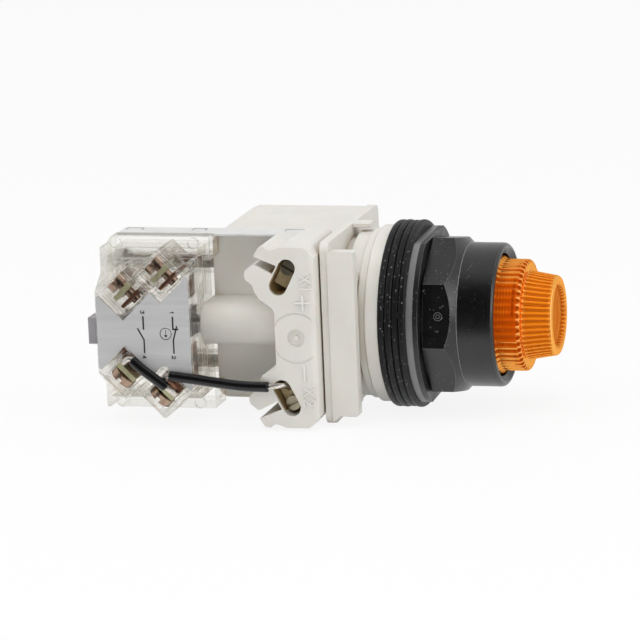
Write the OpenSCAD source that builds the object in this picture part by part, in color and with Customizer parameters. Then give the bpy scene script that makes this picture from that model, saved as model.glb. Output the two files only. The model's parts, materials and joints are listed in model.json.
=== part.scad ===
// Panel pilot light, push to test, 30 mm class.
// The axis is +X, from the rear to the lens. The origin is on the axis at the panel seat.
// +Z is up and the terminals face the side of -Y. All sizes are in mm.

/* [Panel stack] */
// Width of the gasket rings outside the barrel
gasket_wall = 7; // [5:0.25:9]
// Thickness of one gasket
gasket_t = 1.65; // [1:0.05:2.5]
// Width of the trim washers outside the barrel
washer_wall = 6; // [4:0.25:7]
// Width of the trim washers outside the barrel at their flats
washer_flat_wall = 3.9; // [2.5:0.1:5.5]
// Thickness of the grey trim washer
washer_t = 1.55; // [0.8:0.05:2.5]
// Thickness of the black trim washer
trim_t = 1.2; // [0.8:0.05:2.5]
// Turn of the washer flats about the axis in degrees
washer_turn = 2; // [-20:1:20]

/* [Ring nut] */
// Wall of the octagonal nut at its flats
nut_wall = 2.85; // [2:0.05:5]
// Turn of the nut about the axis in degrees
nut_turn = 12.3; // [0:0.1:45]
// Depth of the relief behind the nut
nut_relief = 0.5; // [0.2:0.1:1]
// Wall of the relief behind the nut
relief_wall = 2.1; // [1.2:0.1:2.5]
// Length of the octagon at its corners
nut_corner_len = 5; // [3:0.1:7]
// Length of the cone between the octagon and the shroud
nut_cone_len = 2.6; // [1:0.1:4]
// Wall of the round shroud outside the barrel
shroud_wall = 1.75; // [0.6:0.05:3]
// Length of the round shroud
shroud_len = 8.55; // [6:0.05:12]
// Rounding of the shroud lip
shroud_round = 1.1; // [0.3:0.1:2]
// Depth of the sloped front face inside the lip
lip_drop = 1; // [0.3:0.1:2]
// Thickness of the inner lip
lip_t = 1.8; // [1:0.1:3]

/* [Operator] */
// Outside diameter of the threaded barrel
barrel_d = 30; // [28:0.1:30.4]
// Length of the barrel in front of the panel seat
barrel_len = 16; // [14:0.5:20]
// Width of the round flange outside the barrel
flange_wall = 5.7; // [4:0.1:7]
// Drop from the flange to its small step
flange_drop = 0.8; // [0.3:0.1:1.5]
// Length of the flange at its full diameter
flange_len = 3.4; // [2:0.1:5]
// Length of the small step of the flange
flange_step_len = 1.6; // [0.5:0.1:3]
// Wall of the hub behind the flange
hub_wall = 3; // [2:0.25:4]
// Wall of the short step between the hub and the flange
hub_step_wall = 4.4; // [3:0.1:4.8]
// Length of the short step between the hub and the flange
hub_step_len = 3.3; // [1:0.1:4]
// Height of the operator base
base_h = 42.6; // [38:0.1:46]
// Reach of the operator base on the terminal side
base_near = 23.6; // [18:0.1:24]
// Reach of the operator base on the far side
base_far = 23.6; // [18:0.1:26]
// Thickness of the operator base
base_t = 2.1; // [1.5:0.1:4]
// Distance of the rear of the operator base from the panel seat
base_back = 12.3; // [10:0.1:16]
// Corner radius of the operator base
base_r = 2; // [0.5:0.1:3]
// Drop from the edge of the operator base to the end of the side bar
bar_drop = 2; // [1:0.1:5]
// Outer face of the side bar from the axis
bar_reach = 23.9; // [22:0.1:26]
// Thickness of the side bar
bar_t = 3; // [2:0.1:5]
// Front of the side bar from the panel seat
bar_front = 4.4; // [3:0.1:8]
// Wall between the hub and the side bar
web_t = 2; // [1:0.1:4]
// Thickness of the small tab above the hub
tab_t = 0.9; // [0.5:0.1:1.5]

/* [Push action] */
// Travel of the lens when it is pushed
travel = 3.5; // [2:0.1:3.5]
// Wall of the barrel around the sliding sleeve
barrel_wall = 2.45; // [2:0.05:3]
// Radial clearance of the sleeve and of the push rod
slide_gap = 0.05; // [0.02:0.01:0.1]
// Radial clearance of moving parts that are not guided
free_gap = 0.4; // [0.3:0.05:0.6]
// Height of the collar that stops the sleeve
collar_wall = 1.25; // [0.8:0.05:1.5]
// Thickness of the collar
collar_t = 2.4; // [1.5:0.1:3]
// Rear end of the collar behind the panel seat
collar_back = 13.4; // [13:0.1:14]
// Wall of the sleeve behind its shoulder
sleeve_rear_wall = 1.65; // [1:0.05:2]
// Wall of the sleeve in front of its shoulder
sleeve_front_wall = 1.05; // [0.8:0.05:1.5]
// Distance of the sleeve shoulder behind the panel seat
shoulder_back = 2; // [1:0.1:4]
// Thickness of the sleeve shoulder
shoulder_t = 2.5; // [1:0.1:4]
// Front end of the sleeve from the panel seat
sleeve_front = 20; // [18:0.1:21]
// Width of the ring of the pusher
pusher_wall = 4.4; // [3.5:0.1:4.6]
// Gap between the lamp holder foot and the ring of the pusher
pusher_gap = 0.5; // [0.4:0.05:1]
// Thickness of the ring of the pusher
pusher_t = 2.2; // [1.5:0.1:3]
// Diameter of the push rod
rod_d = 4; // [3:0.1:4.4]
// Gap between the lamp holder foot and the push rod
rod_gap = 1.2; // [0.6:0.1:1.6]
// Gap between the return spring and the sleeve around it
spring_gap = 0.75; // [0.4:0.05:1.5]
// Wire of the return spring
spring_wire = 1.1; // [0.6:0.1:1.4]
// Turns of the return spring
spring_turns = 5; // [3:1:6]

/* [Lens] */
// Overhang of the lens base beyond the sleeve
lens_over = 0.45; // [0.2:0.05:0.8]
// Height of the flared rim of the lens
lens_flare = 0.9; // [0.5:0.05:1]
// Front of the lens base from the panel seat
lens_shoulder = 31.4; // [29:0.1:33]
// Diameter of the lens cone at its foot
cone_d1 = 20.7; // [18:0.1:23]
// Diameter of the lens cone at its front
cone_d2 = 18.7; // [16:0.1:21]
// Length of the lens cone
cone_len = 6.8; // [5:0.1:9]
// Diameter of the recess in the front of the lens
recess_d = 15.4; // [12:0.1:16]
// Depth of the recess in the front of the lens
recess_depth = 1.2; // [0.5:0.1:2]
// Wall of the lens
lens_wall = 2; // [1.2:0.1:2.6]
// Number of flutes around the lens
flutes = 48; // [24:6:60]
// Width of one flute
flute_w = 0.75; // [0.4:0.05:1]
// Wall of the threaded spigot of the lens
spigot_wall = 1.2; // [0.8:0.05:1.6]
// Length of the threaded spigot
spigot_len = 5; // [3:0.1:7]

/* [Lamp] */
// Gap between the lamp holder and the return spring around it
holder_gap = 1.05; // [0.5:0.05:1.5]
// Gap between the lamp holder and the shoulder of the sleeve
holder_free = 0.6; // [0.4:0.05:1]
// Front end of the lamp holder from the panel seat
holder_front = 10; // [6:0.5:12]
// Overhang of the lamp holder foot beyond the return spring
foot_rim = 0.45; // [0.2:0.05:0.5]
// Thickness of the foot of the lamp holder
foot_t = 1.8; // [1:0.1:3]
// Outside diameter of the socket shell
shell_d = 11.4; // [10.6:0.1:12]
// Wall of the socket shell
shell_t = 0.7; // [0.4:0.05:1]
// Length of the socket shell
shell_len = 14; // [10:0.5:16]
// Diameter of the lamp base
lamp_base_d = 9.2; // [9:0.05:9.6]
// Length of the lamp base
lamp_base_len = 11; // [9:0.5:13]
// Diameter of the lamp bulb
bulb_d = 10; // [8:0.1:11]
// Length of the lamp bulb
bulb_len = 17; // [12:0.5:18]
// Diameter of the centre contact
centre_d = 3; // [2:0.1:4]

/* [Light module] */
// Drop from the edge of the operator base to the module body
module_drop = 1.6; // [0.5:0.1:3]
// Near face of the module body from the axis
module_near = 5.5; // [4:0.1:8]
// Far face of the module body from the axis
module_far = 28.4; // [20:0.1:30]
// Rear face of the module from the panel seat
module_back = 43; // [38:0.5:48]
// Rounding of the module body
module_r = 2; // [0.5:0.1:3]
// Face of the terminal block from the axis
plate_face = 28.45; // [24:0.05:30]
// Drop from the edge of the operator base to the terminal block
plate_drop = 0.2; // [0:0.1:2]
// Gap between the terminal block and the operator base
plate_gap = 0.4; // [0.2:0.05:0.8]
// Rounding of the front edge of the terminal block
plate_round = 1.2; // [0.5:0.1:2]
// Radius of the plunger tunnel boss
tunnel_r = 4.9; // [3.5:0.1:6]
// Wall behind the front cavity
cavity_floor = 20; // [19:0.1:20.5]
// Depth of the supply terminal wells
well_depth = 9; // [6:0.5:12]
// Half width of the wells
well_r = 2.1; // [1.5:0.05:3]
// Length of the label strip
strip_len = 45; // [20:1:50]
// Width of the label strip
strip_w = 7; // [4:0.5:10]
// Thickness of the label strip
strip_t = 0.5; // [0.2:0.05:1]
// Distance of the label strip from the axis towards the terminals
strip_near = 2.4; // [1:0.1:6]

/* [Supply terminals] */
// Diameter of the supply screw heads
supply_head_d = 3.5; // [3:0.1:4]
// Thickness of the supply screw heads
supply_head_t = 1.8; // [1:0.1:2.5]
// Diameter of the supply screw shanks
supply_shank_d = 2.2; // [1.6:0.1:2.6]
// Length of the supply screws
supply_shank_len = 6; // [4:0.5:6.5]
// Face of the supply screw heads from the axis
supply_face = 26; // [24:0.1:27]
// Thickness of the supply clamps
supply_clamp_t = 1.3; // [0.8:0.1:1.8]
// Thickness of the supply straps
strap_t = 0.8; // [0.5:0.05:1]
// Width of the supply straps and clamps at the terminals
strap_w = 3.8; // [2:0.1:4]
// Width of the supply straps behind the terminals
strap_run_w = 3; // [2:0.1:3.6]

/* [Module screws] */
// Diameter of the screws that hold the module
module_screw_d = 3; // [2.5:0.1:4]
// Diameter of the heads of these screws
module_head_d = 6; // [5:0.1:6.4]
// Thickness of the heads of these screws
module_head_t = 2.4; // [1.5:0.1:3]
// Distance of these screws behind the axis
module_screw_y = 17; // [15:0.5:19]
// Height of these screws above and below the axis
module_screw_z = 15; // [13:0.5:15.5]
// Depth of the pockets for their heads
module_pocket = 4; // [3:0.5:8]

/* [Contact block] */
// Length of the contact block
block_len = 23; // [20:0.5:26]
// Drop from the edge of the operator base to the contact block
block_drop = 0.9; // [0:0.1:3]
// Near face of the clear base from the axis
block_split = 14.3; // [12:0.1:16]
// Far face of the clear base from the axis
block_far = 2.8; // [0:0.1:4]
// Drop from the edge of the contact block to the middle step of the cover
mid_drop = 1.4; // [0.5:0.1:3]
// Near face of the middle step from the axis
mid_face = 20.5; // [18:0.1:23]
// Near face of the cover from the axis
cover_face = 25.9; // [24:0.1:27]
// Rim of the terminal wells from the axis
rim_face = 27; // [26:0.1:28]
// Wall of the clear parts
clear_wall = 1.2; // [0.8:0.1:2]
// Height kept free on each side of the axis between the rear terminal wells
tower_free = 3; // [2.9:0.05:3.5]
// Drop from the edge of the contact block to the front terminal wells
tower_drop = 0.35; // [0.1:0.05:1]
// Gap between neighbouring terminal wells
tower_gap = 0.58; // [0.3:0.01:1]
// Distance of the rear terminals from the block front
rear_terminal_x = 16.2; // [14:0.1:18]
// Distance of the front terminals from the block front
front_terminal_x = 7; // [6:0.1:9]
// Thickness of the label plate
label_t = 0.4; // [0.2:0.05:0.8]
// Margin around the label plate
label_margin = 0.3; // [0.2:0.05:1]
// Diameter of the four cover pins
pin_d = 2.6; // [2:0.1:3]
// Outer and inner wall of the terminal wells along the screw
well_wall = 0.7; // [0.4:0.1:1.2]
// Side wall of the terminal wells towards the label
well_side_wall = 1.4; // [1.2:0.1:1.8]

/* [Contacts] */
// Thickness of the contact leaves
leaf_t = 0.8; // [0.5:0.05:1]
// Width of the bridges
bridge_w = 3.8; // [3:0.1:4]
// Half length of the bridges
bridge_half = 8.6; // [8:0.1:9]
// Diameter of the contact pads
pad_d = 3; // [2:0.1:4]
// Thickness of the contact pads
pad_t = 0.7; // [0.4:0.05:1]
// Height of the contact pads above the axis
pad_z = 7.5; // [6.5:0.1:8]
// Half height of the contact carrier
carrier_half = 3.4; // [3:0.1:4]
// Half height of the tail of the contact carrier
tail_half = 3.1; // [2.5:0.1:3.2]
// Near face of the tail of the contact carrier from the axis
tail_near = 24.5; // [23:0.1:24.5]
// Depth of the tail of the contact carrier
tail_depth = 5; // [3:0.1:5]
// Reach of the tail out of the block
tail_out = 2.4; // [1:0.1:4]
// Diameter of the terminal screw heads
head_d = 5.8; // [4:0.1:6]
// Thickness of the terminal screw heads
head_t = 1.9; // [1:0.1:1.9]
// Gap under the terminal screw heads
head_gap = 0.85; // [0.2:0.05:0.85]
// Diameter of the terminal screw shanks
shank_d = 2.4; // [2:0.1:4]
// Distance of the terminal screws in front of the axis
screw_reach = 22; // [20:0.5:23]
// Thickness of the wire clamps
clamp_t = 1.2; // [0.8:0.1:1.2]
// Gap between the wire clamps and the sides of their wells
clamp_gap = 0.6; // [0.3:0.1:1]
// Length of the wire clamps
clamp_len = 6.4; // [5:0.1:7]
// Distance of the inner contact rails in front of the axis
rail_reach = 9; // [8:0.1:10]
// Wire of the small springs
small_wire = 0.4; // [0.3:0.05:0.6]
// Length of the springs behind the bridges
bridge_spring_len = 3.4; // [2:0.1:4]
// Width of the screwdriver slots
slot_w = 1; // [0.6:0.1:1.4]
// Diameter of the mounting screws
mount_d = 3.2; // [2.5:0.1:4]

/* [Jumper wires] */
// Diameter of the wire insulation
wire_d = 2.4; // [1.8:0.1:3]
// Diameter of the bare strands
strand_d = 1.3; // [0.8:0.1:1.8]

/* [Hidden] */
$fn = 64;
eps = 0.01;

gasket_d = barrel_d + 2 * gasket_wall;
washer_d = barrel_d + 2 * washer_wall;
washer_flats = barrel_d + 2 * washer_flat_wall;
nut_flats = barrel_d + 2 * nut_wall;
nut_relief_d = barrel_d + 2 * relief_wall;
shroud_d = barrel_d + 2 * shroud_wall;
flange_d = barrel_d + 2 * flange_wall;
flange_step_d = flange_d - 2 * flange_drop;
hub_d = barrel_d + 2 * hub_wall;
hub_step_d = barrel_d + 2 * hub_step_wall;
sleeve_d = barrel_d - 2 * barrel_wall;
collar_d = sleeve_d + 2 * collar_wall;
sleeve_rear_bore = sleeve_d - 2 * sleeve_rear_wall;
sleeve_front_bore = sleeve_d - 2 * sleeve_front_wall;
spring_d = sleeve_rear_bore - 2 * spring_gap - spring_wire;
holder_d = spring_d - spring_wire - 2 * holder_gap;
foot_d = spring_d + spring_wire + 2 * foot_rim;
pusher_hole = foot_d + 2 * pusher_gap;
pusher_d = pusher_hole + 2 * pusher_wall;
rod_offset = (foot_d + rod_d) / 2 + rod_gap;
lens_d = sleeve_d + 2 * lens_over;
lens_flare_d = lens_d + 2 * lens_flare;
spigot_d = sleeve_front_bore - 2 * slide_gap;
bar_h = base_h - 2 * bar_drop;
module_h = base_h - 2 * module_drop;
plate_half = base_h / 2 - plate_drop;
plate_front = base_back + plate_gap;
block_half = base_h / 2 - block_drop;
mid_half = block_half - mid_drop;
well_room = block_half - tower_drop - tower_free;
tower_corner = (well_room + rear_terminal_x - front_terminal_x - tower_gap * sqrt(2)) / 4;
tower_half = tower_corner / sqrt(2);
front_terminal_z = block_half - tower_drop - tower_corner;
rear_terminal_z = tower_free + tower_corner;

washer_x = 4 * gasket_t;
trim_x = washer_x + washer_t;
nut_x = trim_x + trim_t;
octagon_x = nut_x + nut_relief;
cone_x = octagon_x + nut_corner_len;
shroud_x = cone_x + nut_cone_len;
lip_x = shroud_x + shroud_len;
nut_corner_r = nut_flats / 2 / cos(22.5);
bore_r = sleeve_d / 2 + slide_gap;
thread_r = barrel_d / 2 + slide_gap;
lip_r = lens_flare_d / 2 + free_gap;
shroud_in_r = barrel_d / 2 + 0.3;
collar_front = collar_back - collar_t;
stop_r = collar_d / 2 + free_gap;
cavity_r = pusher_d / 2 + free_gap;
pusher_front = collar_back;
pusher_back = pusher_front + pusher_t;
lens_rear = sleeve_front;
lens_front = lens_shoulder + cone_len;
flare_x = lip_x - lip_drop - 0.4;
lamp_back = 0;
lamp_front = lamp_base_len;
base_front = base_back - base_t;
flange_back = flange_len + flange_step_len;
block_front = module_back;
block_back = block_front + block_len;
strip_back = block_back - 1;
strip_z = module_h / 2;
front_cx = -(block_front + front_terminal_x);
rear_cx = -(block_front + rear_terminal_x);
well_floor = 16;
screw_y = -screw_reach;
bridge_y = -12.2;
clamp_z = -0.25;
leaf_z = clamp_z - strand_d - 0.15 - leaf_t;
head_z = clamp_z + clamp_t + head_gap;
clamp_half = tower_half - clear_wall - clamp_gap;
leg_x = well_side_wall - tower_half + 0.2;
leg_z = 2.1;
leg_w = 1;
tab_y = bridge_y - bridge_w / 2;
strap_x = -cavity_floor - 0.1;
nc_x = -(block_front + 6.9);
no_x = -(block_front + 14.4);
no_pad_x = -(block_front + 20.1);
open_len = bridge_spring_len - 0.4;
dimple_x = -17.35;
carrier_front = -(block_front + 3.5);
carrier_back = -(block_front + 17);
arm_back = carrier_back - 1.2;
mount_y = -1.2;
mount_z = 12;
crown_half = rear_terminal_z + 0.25;
front_back = front_cx - 6;
tab_low = pad_z - bridge_w / 2;
tab_high = pad_z + bridge_w / 2;
well_a = [-19, plate_half - 4.8];
well_b = [-21.2, plate_half - 9.1];
supply_screw = well_a - [0.3, 0.5];
supply_clamp = well_b + [0.9, 1.7];
well_turn = 62.5;
strap_low = supply_clamp[1] - 4.2;
strap_high = strap_low + strap_run_w;
strap_y = -9.5;
strap_pin_z = 4.5;
strap_pin_w = 2.8;

// Turns a shape that was drawn along +Z so that it runs along +X.
module along_x(x) {
    translate([x, 0, 0])
        rotate([0, 90, 0])
            children();
}

// A round bar along X from x1 to x2.
module bar_x(x1, x2, r) {
    along_x(x1)
        cylinder(r = r, h = x2 - x1);
}

// A round bar along Y from y1 to y2 at the given place.
module bar_y(x, z, y1, y2, r) {
    translate([x, y1, z])
        rotate([-90, 0, 0])
            cylinder(r = r, h = y2 - y1);
}

// A solid of revolution about X from points given as radius and x.
module turned(points) {
    rotate([0, 90, 0])
        rotate_extrude()
            polygon(points);
}

// A box from one corner to the opposite corner.
module block(a, b) {
    translate(a)
        cube(b - a);
}

// A flat plate with the given outline in x and z, from y1 to y2.
module plate_xz(points, y1, y2) {
    translate([0, y2, 0])
        rotate([90, 0, 0])
            linear_extrude(height = y2 - y1)
                polygon(points);
}

// A bar along X with the given outline in y and z, from x1 to x2.
module bar_yz(points, x1, x2) {
    translate([x1, 0, 0])
        rotate([90, 0, 90])
            linear_extrude(height = x2 - x1)
                polygon(points);
}

// A box with rounded edges along X.
module rounded_x(x1, x2, y1, y2, z1, z2, r) {
    block([x1, y1 + r, z1], [x2, y2 - r, z2]);
    block([x1, y1, z1 + r], [x2, y2, z2 - r]);
    for (y = [y1 + r, y2 - r])
        for (z = [z1 + r, z2 - r])
            translate([0, y, z])
                bar_x(x1, x2, r);
}

// Both the upper one and its mirror image below.
module both() {
    children();
    mirror([0, 0, 1])
        children();
}

// Local frame of a contact terminal. Its x runs along the screw and its z away from the label.
module at_terminal(cx, cz) {
    translate([cx, 0, cz])
        rotate([0, -45, 0])
            children();
}

// Ring of points around one point of a route.
function unit(v) = v / norm(v);
function heading(p, i) =
    i == 0 ? unit(p[1] - p[0]) :
    i == len(p) - 1 ? unit(p[i] - p[i - 1]) :
    unit(unit(p[i + 1] - p[i]) + unit(p[i] - p[i - 1]));
function ring_points(c, d, r, n, side) =
    let (u = unit(cross(d, side)), v = cross(d, u))
    [for (k = [0 : n - 1]) c + r * (cos(360 * k / n) * u + sin(360 * k / n) * v)];

// A round tube of n sides swept along a route of points.
module swept(p, r, n, side) {
    rings = [for (i = [0 : len(p) - 1]) ring_points(p[i], heading(p, i), r, n, side)];
    pts = [for (a = rings) for (b = a) b];
    last = (len(p) - 1) * n;
    walls = [
        for (i = [0 : len(p) - 2])
            for (k = [0 : n - 1])
                let (a = i * n + k, b = i * n + (k + 1) % n)
                for (f = [[a, b, b + n], [a, b + n, a + n]]) f
    ];
    ends = [
        [for (k = [n - 1 : -1 : 0]) k],
        [for (k = [0 : n - 1]) last + k]
    ];
    polyhedron(points = pts, faces = concat(walls, ends), convexity = 6);
}

// Route of a coil spring along X.
function coil_route(x1, x2, r, turns, steps) =
    [for (i = [0 : turns * steps])
        [x1 + (x2 - x1) * i / (turns * steps), r * cos(360 * i / steps), r * sin(360 * i / steps)]];

// Smooth route through hand chosen points.
function mid_at(p, i, t) =
    let (
        a = p[max(i - 1, 0)],
        b = p[i],
        c = p[i + 1],
        d = p[min(i + 2, len(p) - 1)]
    )
    0.5 * (2 * b + (c - a) * t + (2 * a - 5 * b + 4 * c - d) * t * t + (3 * b - a - 3 * c + d) * t * t * t);
function smooth_route(p, steps) =
    concat(
        [for (i = [0 : len(p) - 2]) for (k = [0 : steps - 1]) mid_at(p, i, k / steps)],
        [p[len(p) - 1]]
    );

// Places on the lower terminals that the jumper wires are laid from.
at_rear = [rear_cx, -rim_face, -rear_terminal_z];
at_front = [front_cx, -rim_face, -front_terminal_z];
at_supply = [supply_clamp[0], -plate_face, -supply_clamp[1]];

// A run of points laid from one place.
function laid(from, points) = [for (p = points) from + p];

short_route = concat(
    laid(at_rear, [[2.2, -0.9, 3.25], [4.8, -1.5, 1.25]]),
    laid(at_front, [[-1.4, -1.5, 3.4], [1, -1.4, 1.6]])
);
short_tail_1 = laid(
    at_rear,
    [
        [2.1, -0.9, 3.35], [1.5, -0.8, 3.65], [0.7, -0.5, 3.35],
        [-0.1, 0.2, 2.65], [-0.7, 1.4, 2.15], [-0.7, 4, 2.15]
    ]
);
short_tail_2 = laid(
    at_front,
    [[1.1, -1.4, 1.5], [1.8, -1.3, 0.9], [2.4, -0.6, 0], [2.3, 0.6, -0.7], [2.2, 1.8, -0.8], [2.2, 4, -0.8]]
);
long_route = concat(
    laid(at_front, [[2, -1.3, 4.2], [8, -1.2, 3.5], [14, -1.8, 2.9]]),
    laid(at_supply, [[-9.7, -1.15, 2.5], [-3.7, -1.55, 2.5]])
);
long_tail_1 = laid(
    at_front,
    [
        [1.9, -1.3, 4.2], [1.1, -1.1, 4.1], [0.7, -0.2, 3.7], [0.1, 0.5, 3.1],
        [-0.6, 1.3, 2.4], [-0.8, 2.1, 2.2], [-0.8, 4, 2.2]
    ]
);
long_tail_2 = laid(at_supply, [[-3.6, -1.55, 2.5], [-2.8, -1.45, 2.5], [-0.7, 0.05, 2.5], [0.1, 2.85, 1.3]]);

module lens_body() {
    difference() {
        turned([
            [0, lens_rear - spigot_len],
            [spigot_d / 2, lens_rear - spigot_len],
            [spigot_d / 2, lens_rear],
            [lens_d / 2, lens_rear],
            [lens_d / 2, flare_x - 1],
            [lens_flare_d / 2, flare_x],
            [lens_flare_d / 2, flare_x + 0.7],
            [lens_d / 2 + 0.25, flare_x + 1.6],
            [lens_d / 2, flare_x + 2.2],
            [lens_d / 2, lens_shoulder - 0.25],
            [lens_d / 2 - 0.25, lens_shoulder],
            [cone_d1 / 2, lens_shoulder],
            [cone_d2 / 2, lens_front - 0.7],
            [cone_d2 / 2 - 0.25, lens_front - 0.2],
            [cone_d2 / 2 - 0.8, lens_front],
            [recess_d / 2, lens_front],
            [recess_d / 2 - 0.2, lens_front - recess_depth],
            [0, lens_front - recess_depth]
        ]);
        turned([
            [0, lens_rear - spigot_len - 1],
            [spigot_d / 2 - spigot_wall, lens_rear - spigot_len - 1],
            [spigot_d / 2 - spigot_wall, lens_shoulder - lens_wall],
            [cone_d1 / 2 - lens_wall, lens_shoulder - lens_wall + 0.6],
            [cone_d2 / 2 - lens_wall, lens_front - recess_depth - 1.6],
            [0, lens_front - recess_depth - 1.4]
        ]);
    }
}

module lens() {
    slope = atan((cone_d1 - cone_d2) / 2 / (cone_len - 0.7));
    color([0.86, 0.36, 0.04, 0.85])
        difference() {
            lens_body();
            for (i = [0 : flutes - 1])
                rotate([360 / flutes * i, 0, 0])
                    translate([flare_x + 2.2, 0, lens_d / 2 + 0.12])
                        rotate([45, 0, 0])
                            translate([0, -flute_w / 2, -flute_w / 2])
                                cube([lens_shoulder - flare_x, flute_w, flute_w]);
            for (i = [0 : flutes - 1])
                rotate([360 / flutes * i, 0, 0])
                    translate([lens_shoulder + 0.3, 0, cone_d1 / 2 + 0.08])
                        rotate([0, slope, 0])
                            rotate([45, 0, 0])
                                translate([0, -flute_w / 2, -flute_w / 2])
                                    cube([cone_len - 1.2, flute_w, flute_w]);
        }
}

module ring_nut() {
    round_x = lip_x - shroud_round;
    lip_back = lip_x - lip_drop - lip_t;
    color([0.12, 0.12, 0.13])
        difference() {
            union() {
                intersection() {
                    along_x(octagon_x)
                        rotate([0, 0, nut_turn])
                            cylinder(r = nut_corner_r, h = shroud_x - octagon_x, $fn = 8);
                    turned([
                        [0, octagon_x],
                        [nut_corner_r + 0.02, octagon_x],
                        [nut_corner_r + 0.02, cone_x],
                        [shroud_d / 2 - 0.02, shroud_x],
                        [0, shroud_x]
                    ]);
                }
                bar_x(nut_x, octagon_x + 0.1, nut_relief_d / 2);
                turned([
                    [0, shroud_x - 0.1],
                    [shroud_d / 2, shroud_x - 0.1],
                    [shroud_d / 2, round_x],
                    [shroud_d / 2 - shroud_round * 0.134, lip_x - shroud_round * 0.5],
                    [shroud_d / 2 - shroud_round * 0.5, lip_x - shroud_round * 0.134],
                    [shroud_d / 2 - shroud_round, lip_x],
                    [lip_r, lip_x - lip_drop],
                    [0, lip_x - lip_drop]
                ]);
            }
            bar_x(nut_x - 1, barrel_len + 0.5, thread_r);
            bar_x(barrel_len + 0.4, lip_back, shroud_in_r);
            bar_x(lip_back - 1, lip_x + 1, lip_r);
        }
}

module flat_washer(x, t) {
    difference() {
        intersection() {
            bar_x(x, x + t, washer_d / 2);
            rotate([washer_turn, 0, 0])
                block([x - 1, -washer_d, -washer_flats / 2], [x + t + 1, washer_d, washer_flats / 2]);
        }
        bar_x(x - 1, x + t + 1, barrel_d / 2 + 0.3);
    }
}

module trim_washer_black() {
    color([0.16, 0.16, 0.17])
        flat_washer(trim_x, trim_t);
}

module trim_washer_grey() {
    color([0.62, 0.61, 0.62])
        flat_washer(washer_x, washer_t);
}

module gasket(i) {
    x1 = i * gasket_t;
    x2 = x1 + gasket_t;
    r = gasket_d / 2;
    color([0.13, 0.13, 0.14])
        turned([
            [barrel_d / 2 + 0.3, x1],
            [r - 0.35, x1],
            [r, x1 + 0.3],
            [r, x2 - 0.3],
            [r - 0.35, x2],
            [barrel_d / 2 + 0.3, x2]
        ]);
}

module gasket_1() {
    gasket(0);
}

module gasket_2() {
    gasket(1);
}

module gasket_3() {
    gasket(2);
}

module gasket_4() {
    gasket(3);
}

// The bar along the near side of the operator base, with a small foot at its lower end.
module side_bar() {
    half = bar_h / 2;
    x1 = -base_front - 0.5;
    x2 = -bar_front;
    foot = bar_drop - 0.7;
    plate_xz(
        [
            [x1, half],
            [x2 - 0.4, half],
            [x2, half - 0.4],
            [x2, -half + 0.4],
            [x2 - 0.4, -half],
            [-base_front + 1.4, -half],
            [-base_front, -half - foot],
            [x1, -half - foot]
        ],
        -bar_reach, bar_t - bar_reach
    );
}

module operator_body() {
    color([0.86, 0.84, 0.78])
        difference() {
            union() {
                rounded_x(-base_back, -base_front, -base_near, base_far, -base_h / 2, base_h / 2, base_r);
                side_bar();
                block(
                    [-base_front - 0.1, bar_t - bar_reach - 0.1, -bar_h / 2 + 2],
                    [-flange_back - 0.3, -hub_d / 2 + web_t, bar_h / 2 - 6]
                );
                bar_x(-base_front - 0.1, -flange_back, hub_d / 2);
                bar_x(-flange_back - hub_step_len, -flange_back, hub_step_d / 2);
                block([-base_front - 0.1, -1, base_h / 2 - tab_t], [-flange_back - 1, 3.5, base_h / 2]);
                bar_x(-flange_back, -flange_len + 0.1, flange_step_d / 2);
                turned([
                    [0, -flange_len],
                    [flange_d / 2 - 0.4, -flange_len],
                    [flange_d / 2, -flange_len + 0.4],
                    [flange_d / 2, -0.2],
                    [flange_d / 2 - 0.2, 0],
                    [0, 0]
                ]);
                bar_x(-0.1, barrel_len, barrel_d / 2);
            }
            bar_x(-base_back - 1, barrel_len + 1, bore_r);
            bar_x(-base_back - 1, -collar_front, stop_r);
            for (s = [-1, 1])
                translate([0, module_screw_y, s * module_screw_z])
                    bar_x(-base_back - 1, -base_front - 0.4, module_screw_d / 2);
        }
}

module lens_carrier() {
    color([0.8, 0.8, 0.76])
        turned([
            [sleeve_rear_bore / 2, -collar_back],
            [collar_d / 2, -collar_back],
            [collar_d / 2, -collar_front],
            [sleeve_d / 2, -collar_front],
            [sleeve_d / 2, sleeve_front],
            [sleeve_front_bore / 2, sleeve_front],
            [sleeve_front_bore / 2, shoulder_t - shoulder_back],
            [holder_d / 2 + holder_free, shoulder_t - shoulder_back],
            [holder_d / 2 + holder_free, -shoulder_back],
            [sleeve_rear_bore / 2, -shoulder_back]
        ]);
}

module return_spring() {
    x1 = -cavity_floor + foot_t + spring_wire / 2;
    x2 = -shoulder_back - spring_wire / 2;
    color([0.7, 0.7, 0.72])
        swept(coil_route(x1, x2, spring_d / 2, spring_turns, 14), spring_wire / 2, 8, [1, 0, 0]);
}

module pusher() {
    color([0.45, 0.3, 0.2])
        union() {
            difference() {
                bar_x(-pusher_back, -pusher_front, pusher_d / 2);
                bar_x(-pusher_back - 1, -pusher_front + 1, pusher_hole / 2);
            }
            translate([0, -rod_offset, 0])
                bar_x(-block_front, -pusher_back + 0.1, rod_d / 2);
        }
}

module lamp_bulb() {
    r = bulb_d / 2;
    x1 = lamp_front;
    x2 = x1 + bulb_len;
    color([0.95, 0.93, 0.88, 0.6])
        turned([
            [0, x1],
            [r - 1, x1],
            [r, x1 + 2],
            [r, x2 - r],
            [r * 0.966, x2 - r * 0.741],
            [r * 0.866, x2 - r * 0.5],
            [r * 0.707, x2 - r * 0.293],
            [r * 0.5, x2 - r * 0.134],
            [r * 0.259, x2 - r * 0.034],
            [0, x2]
        ]);
}

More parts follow.
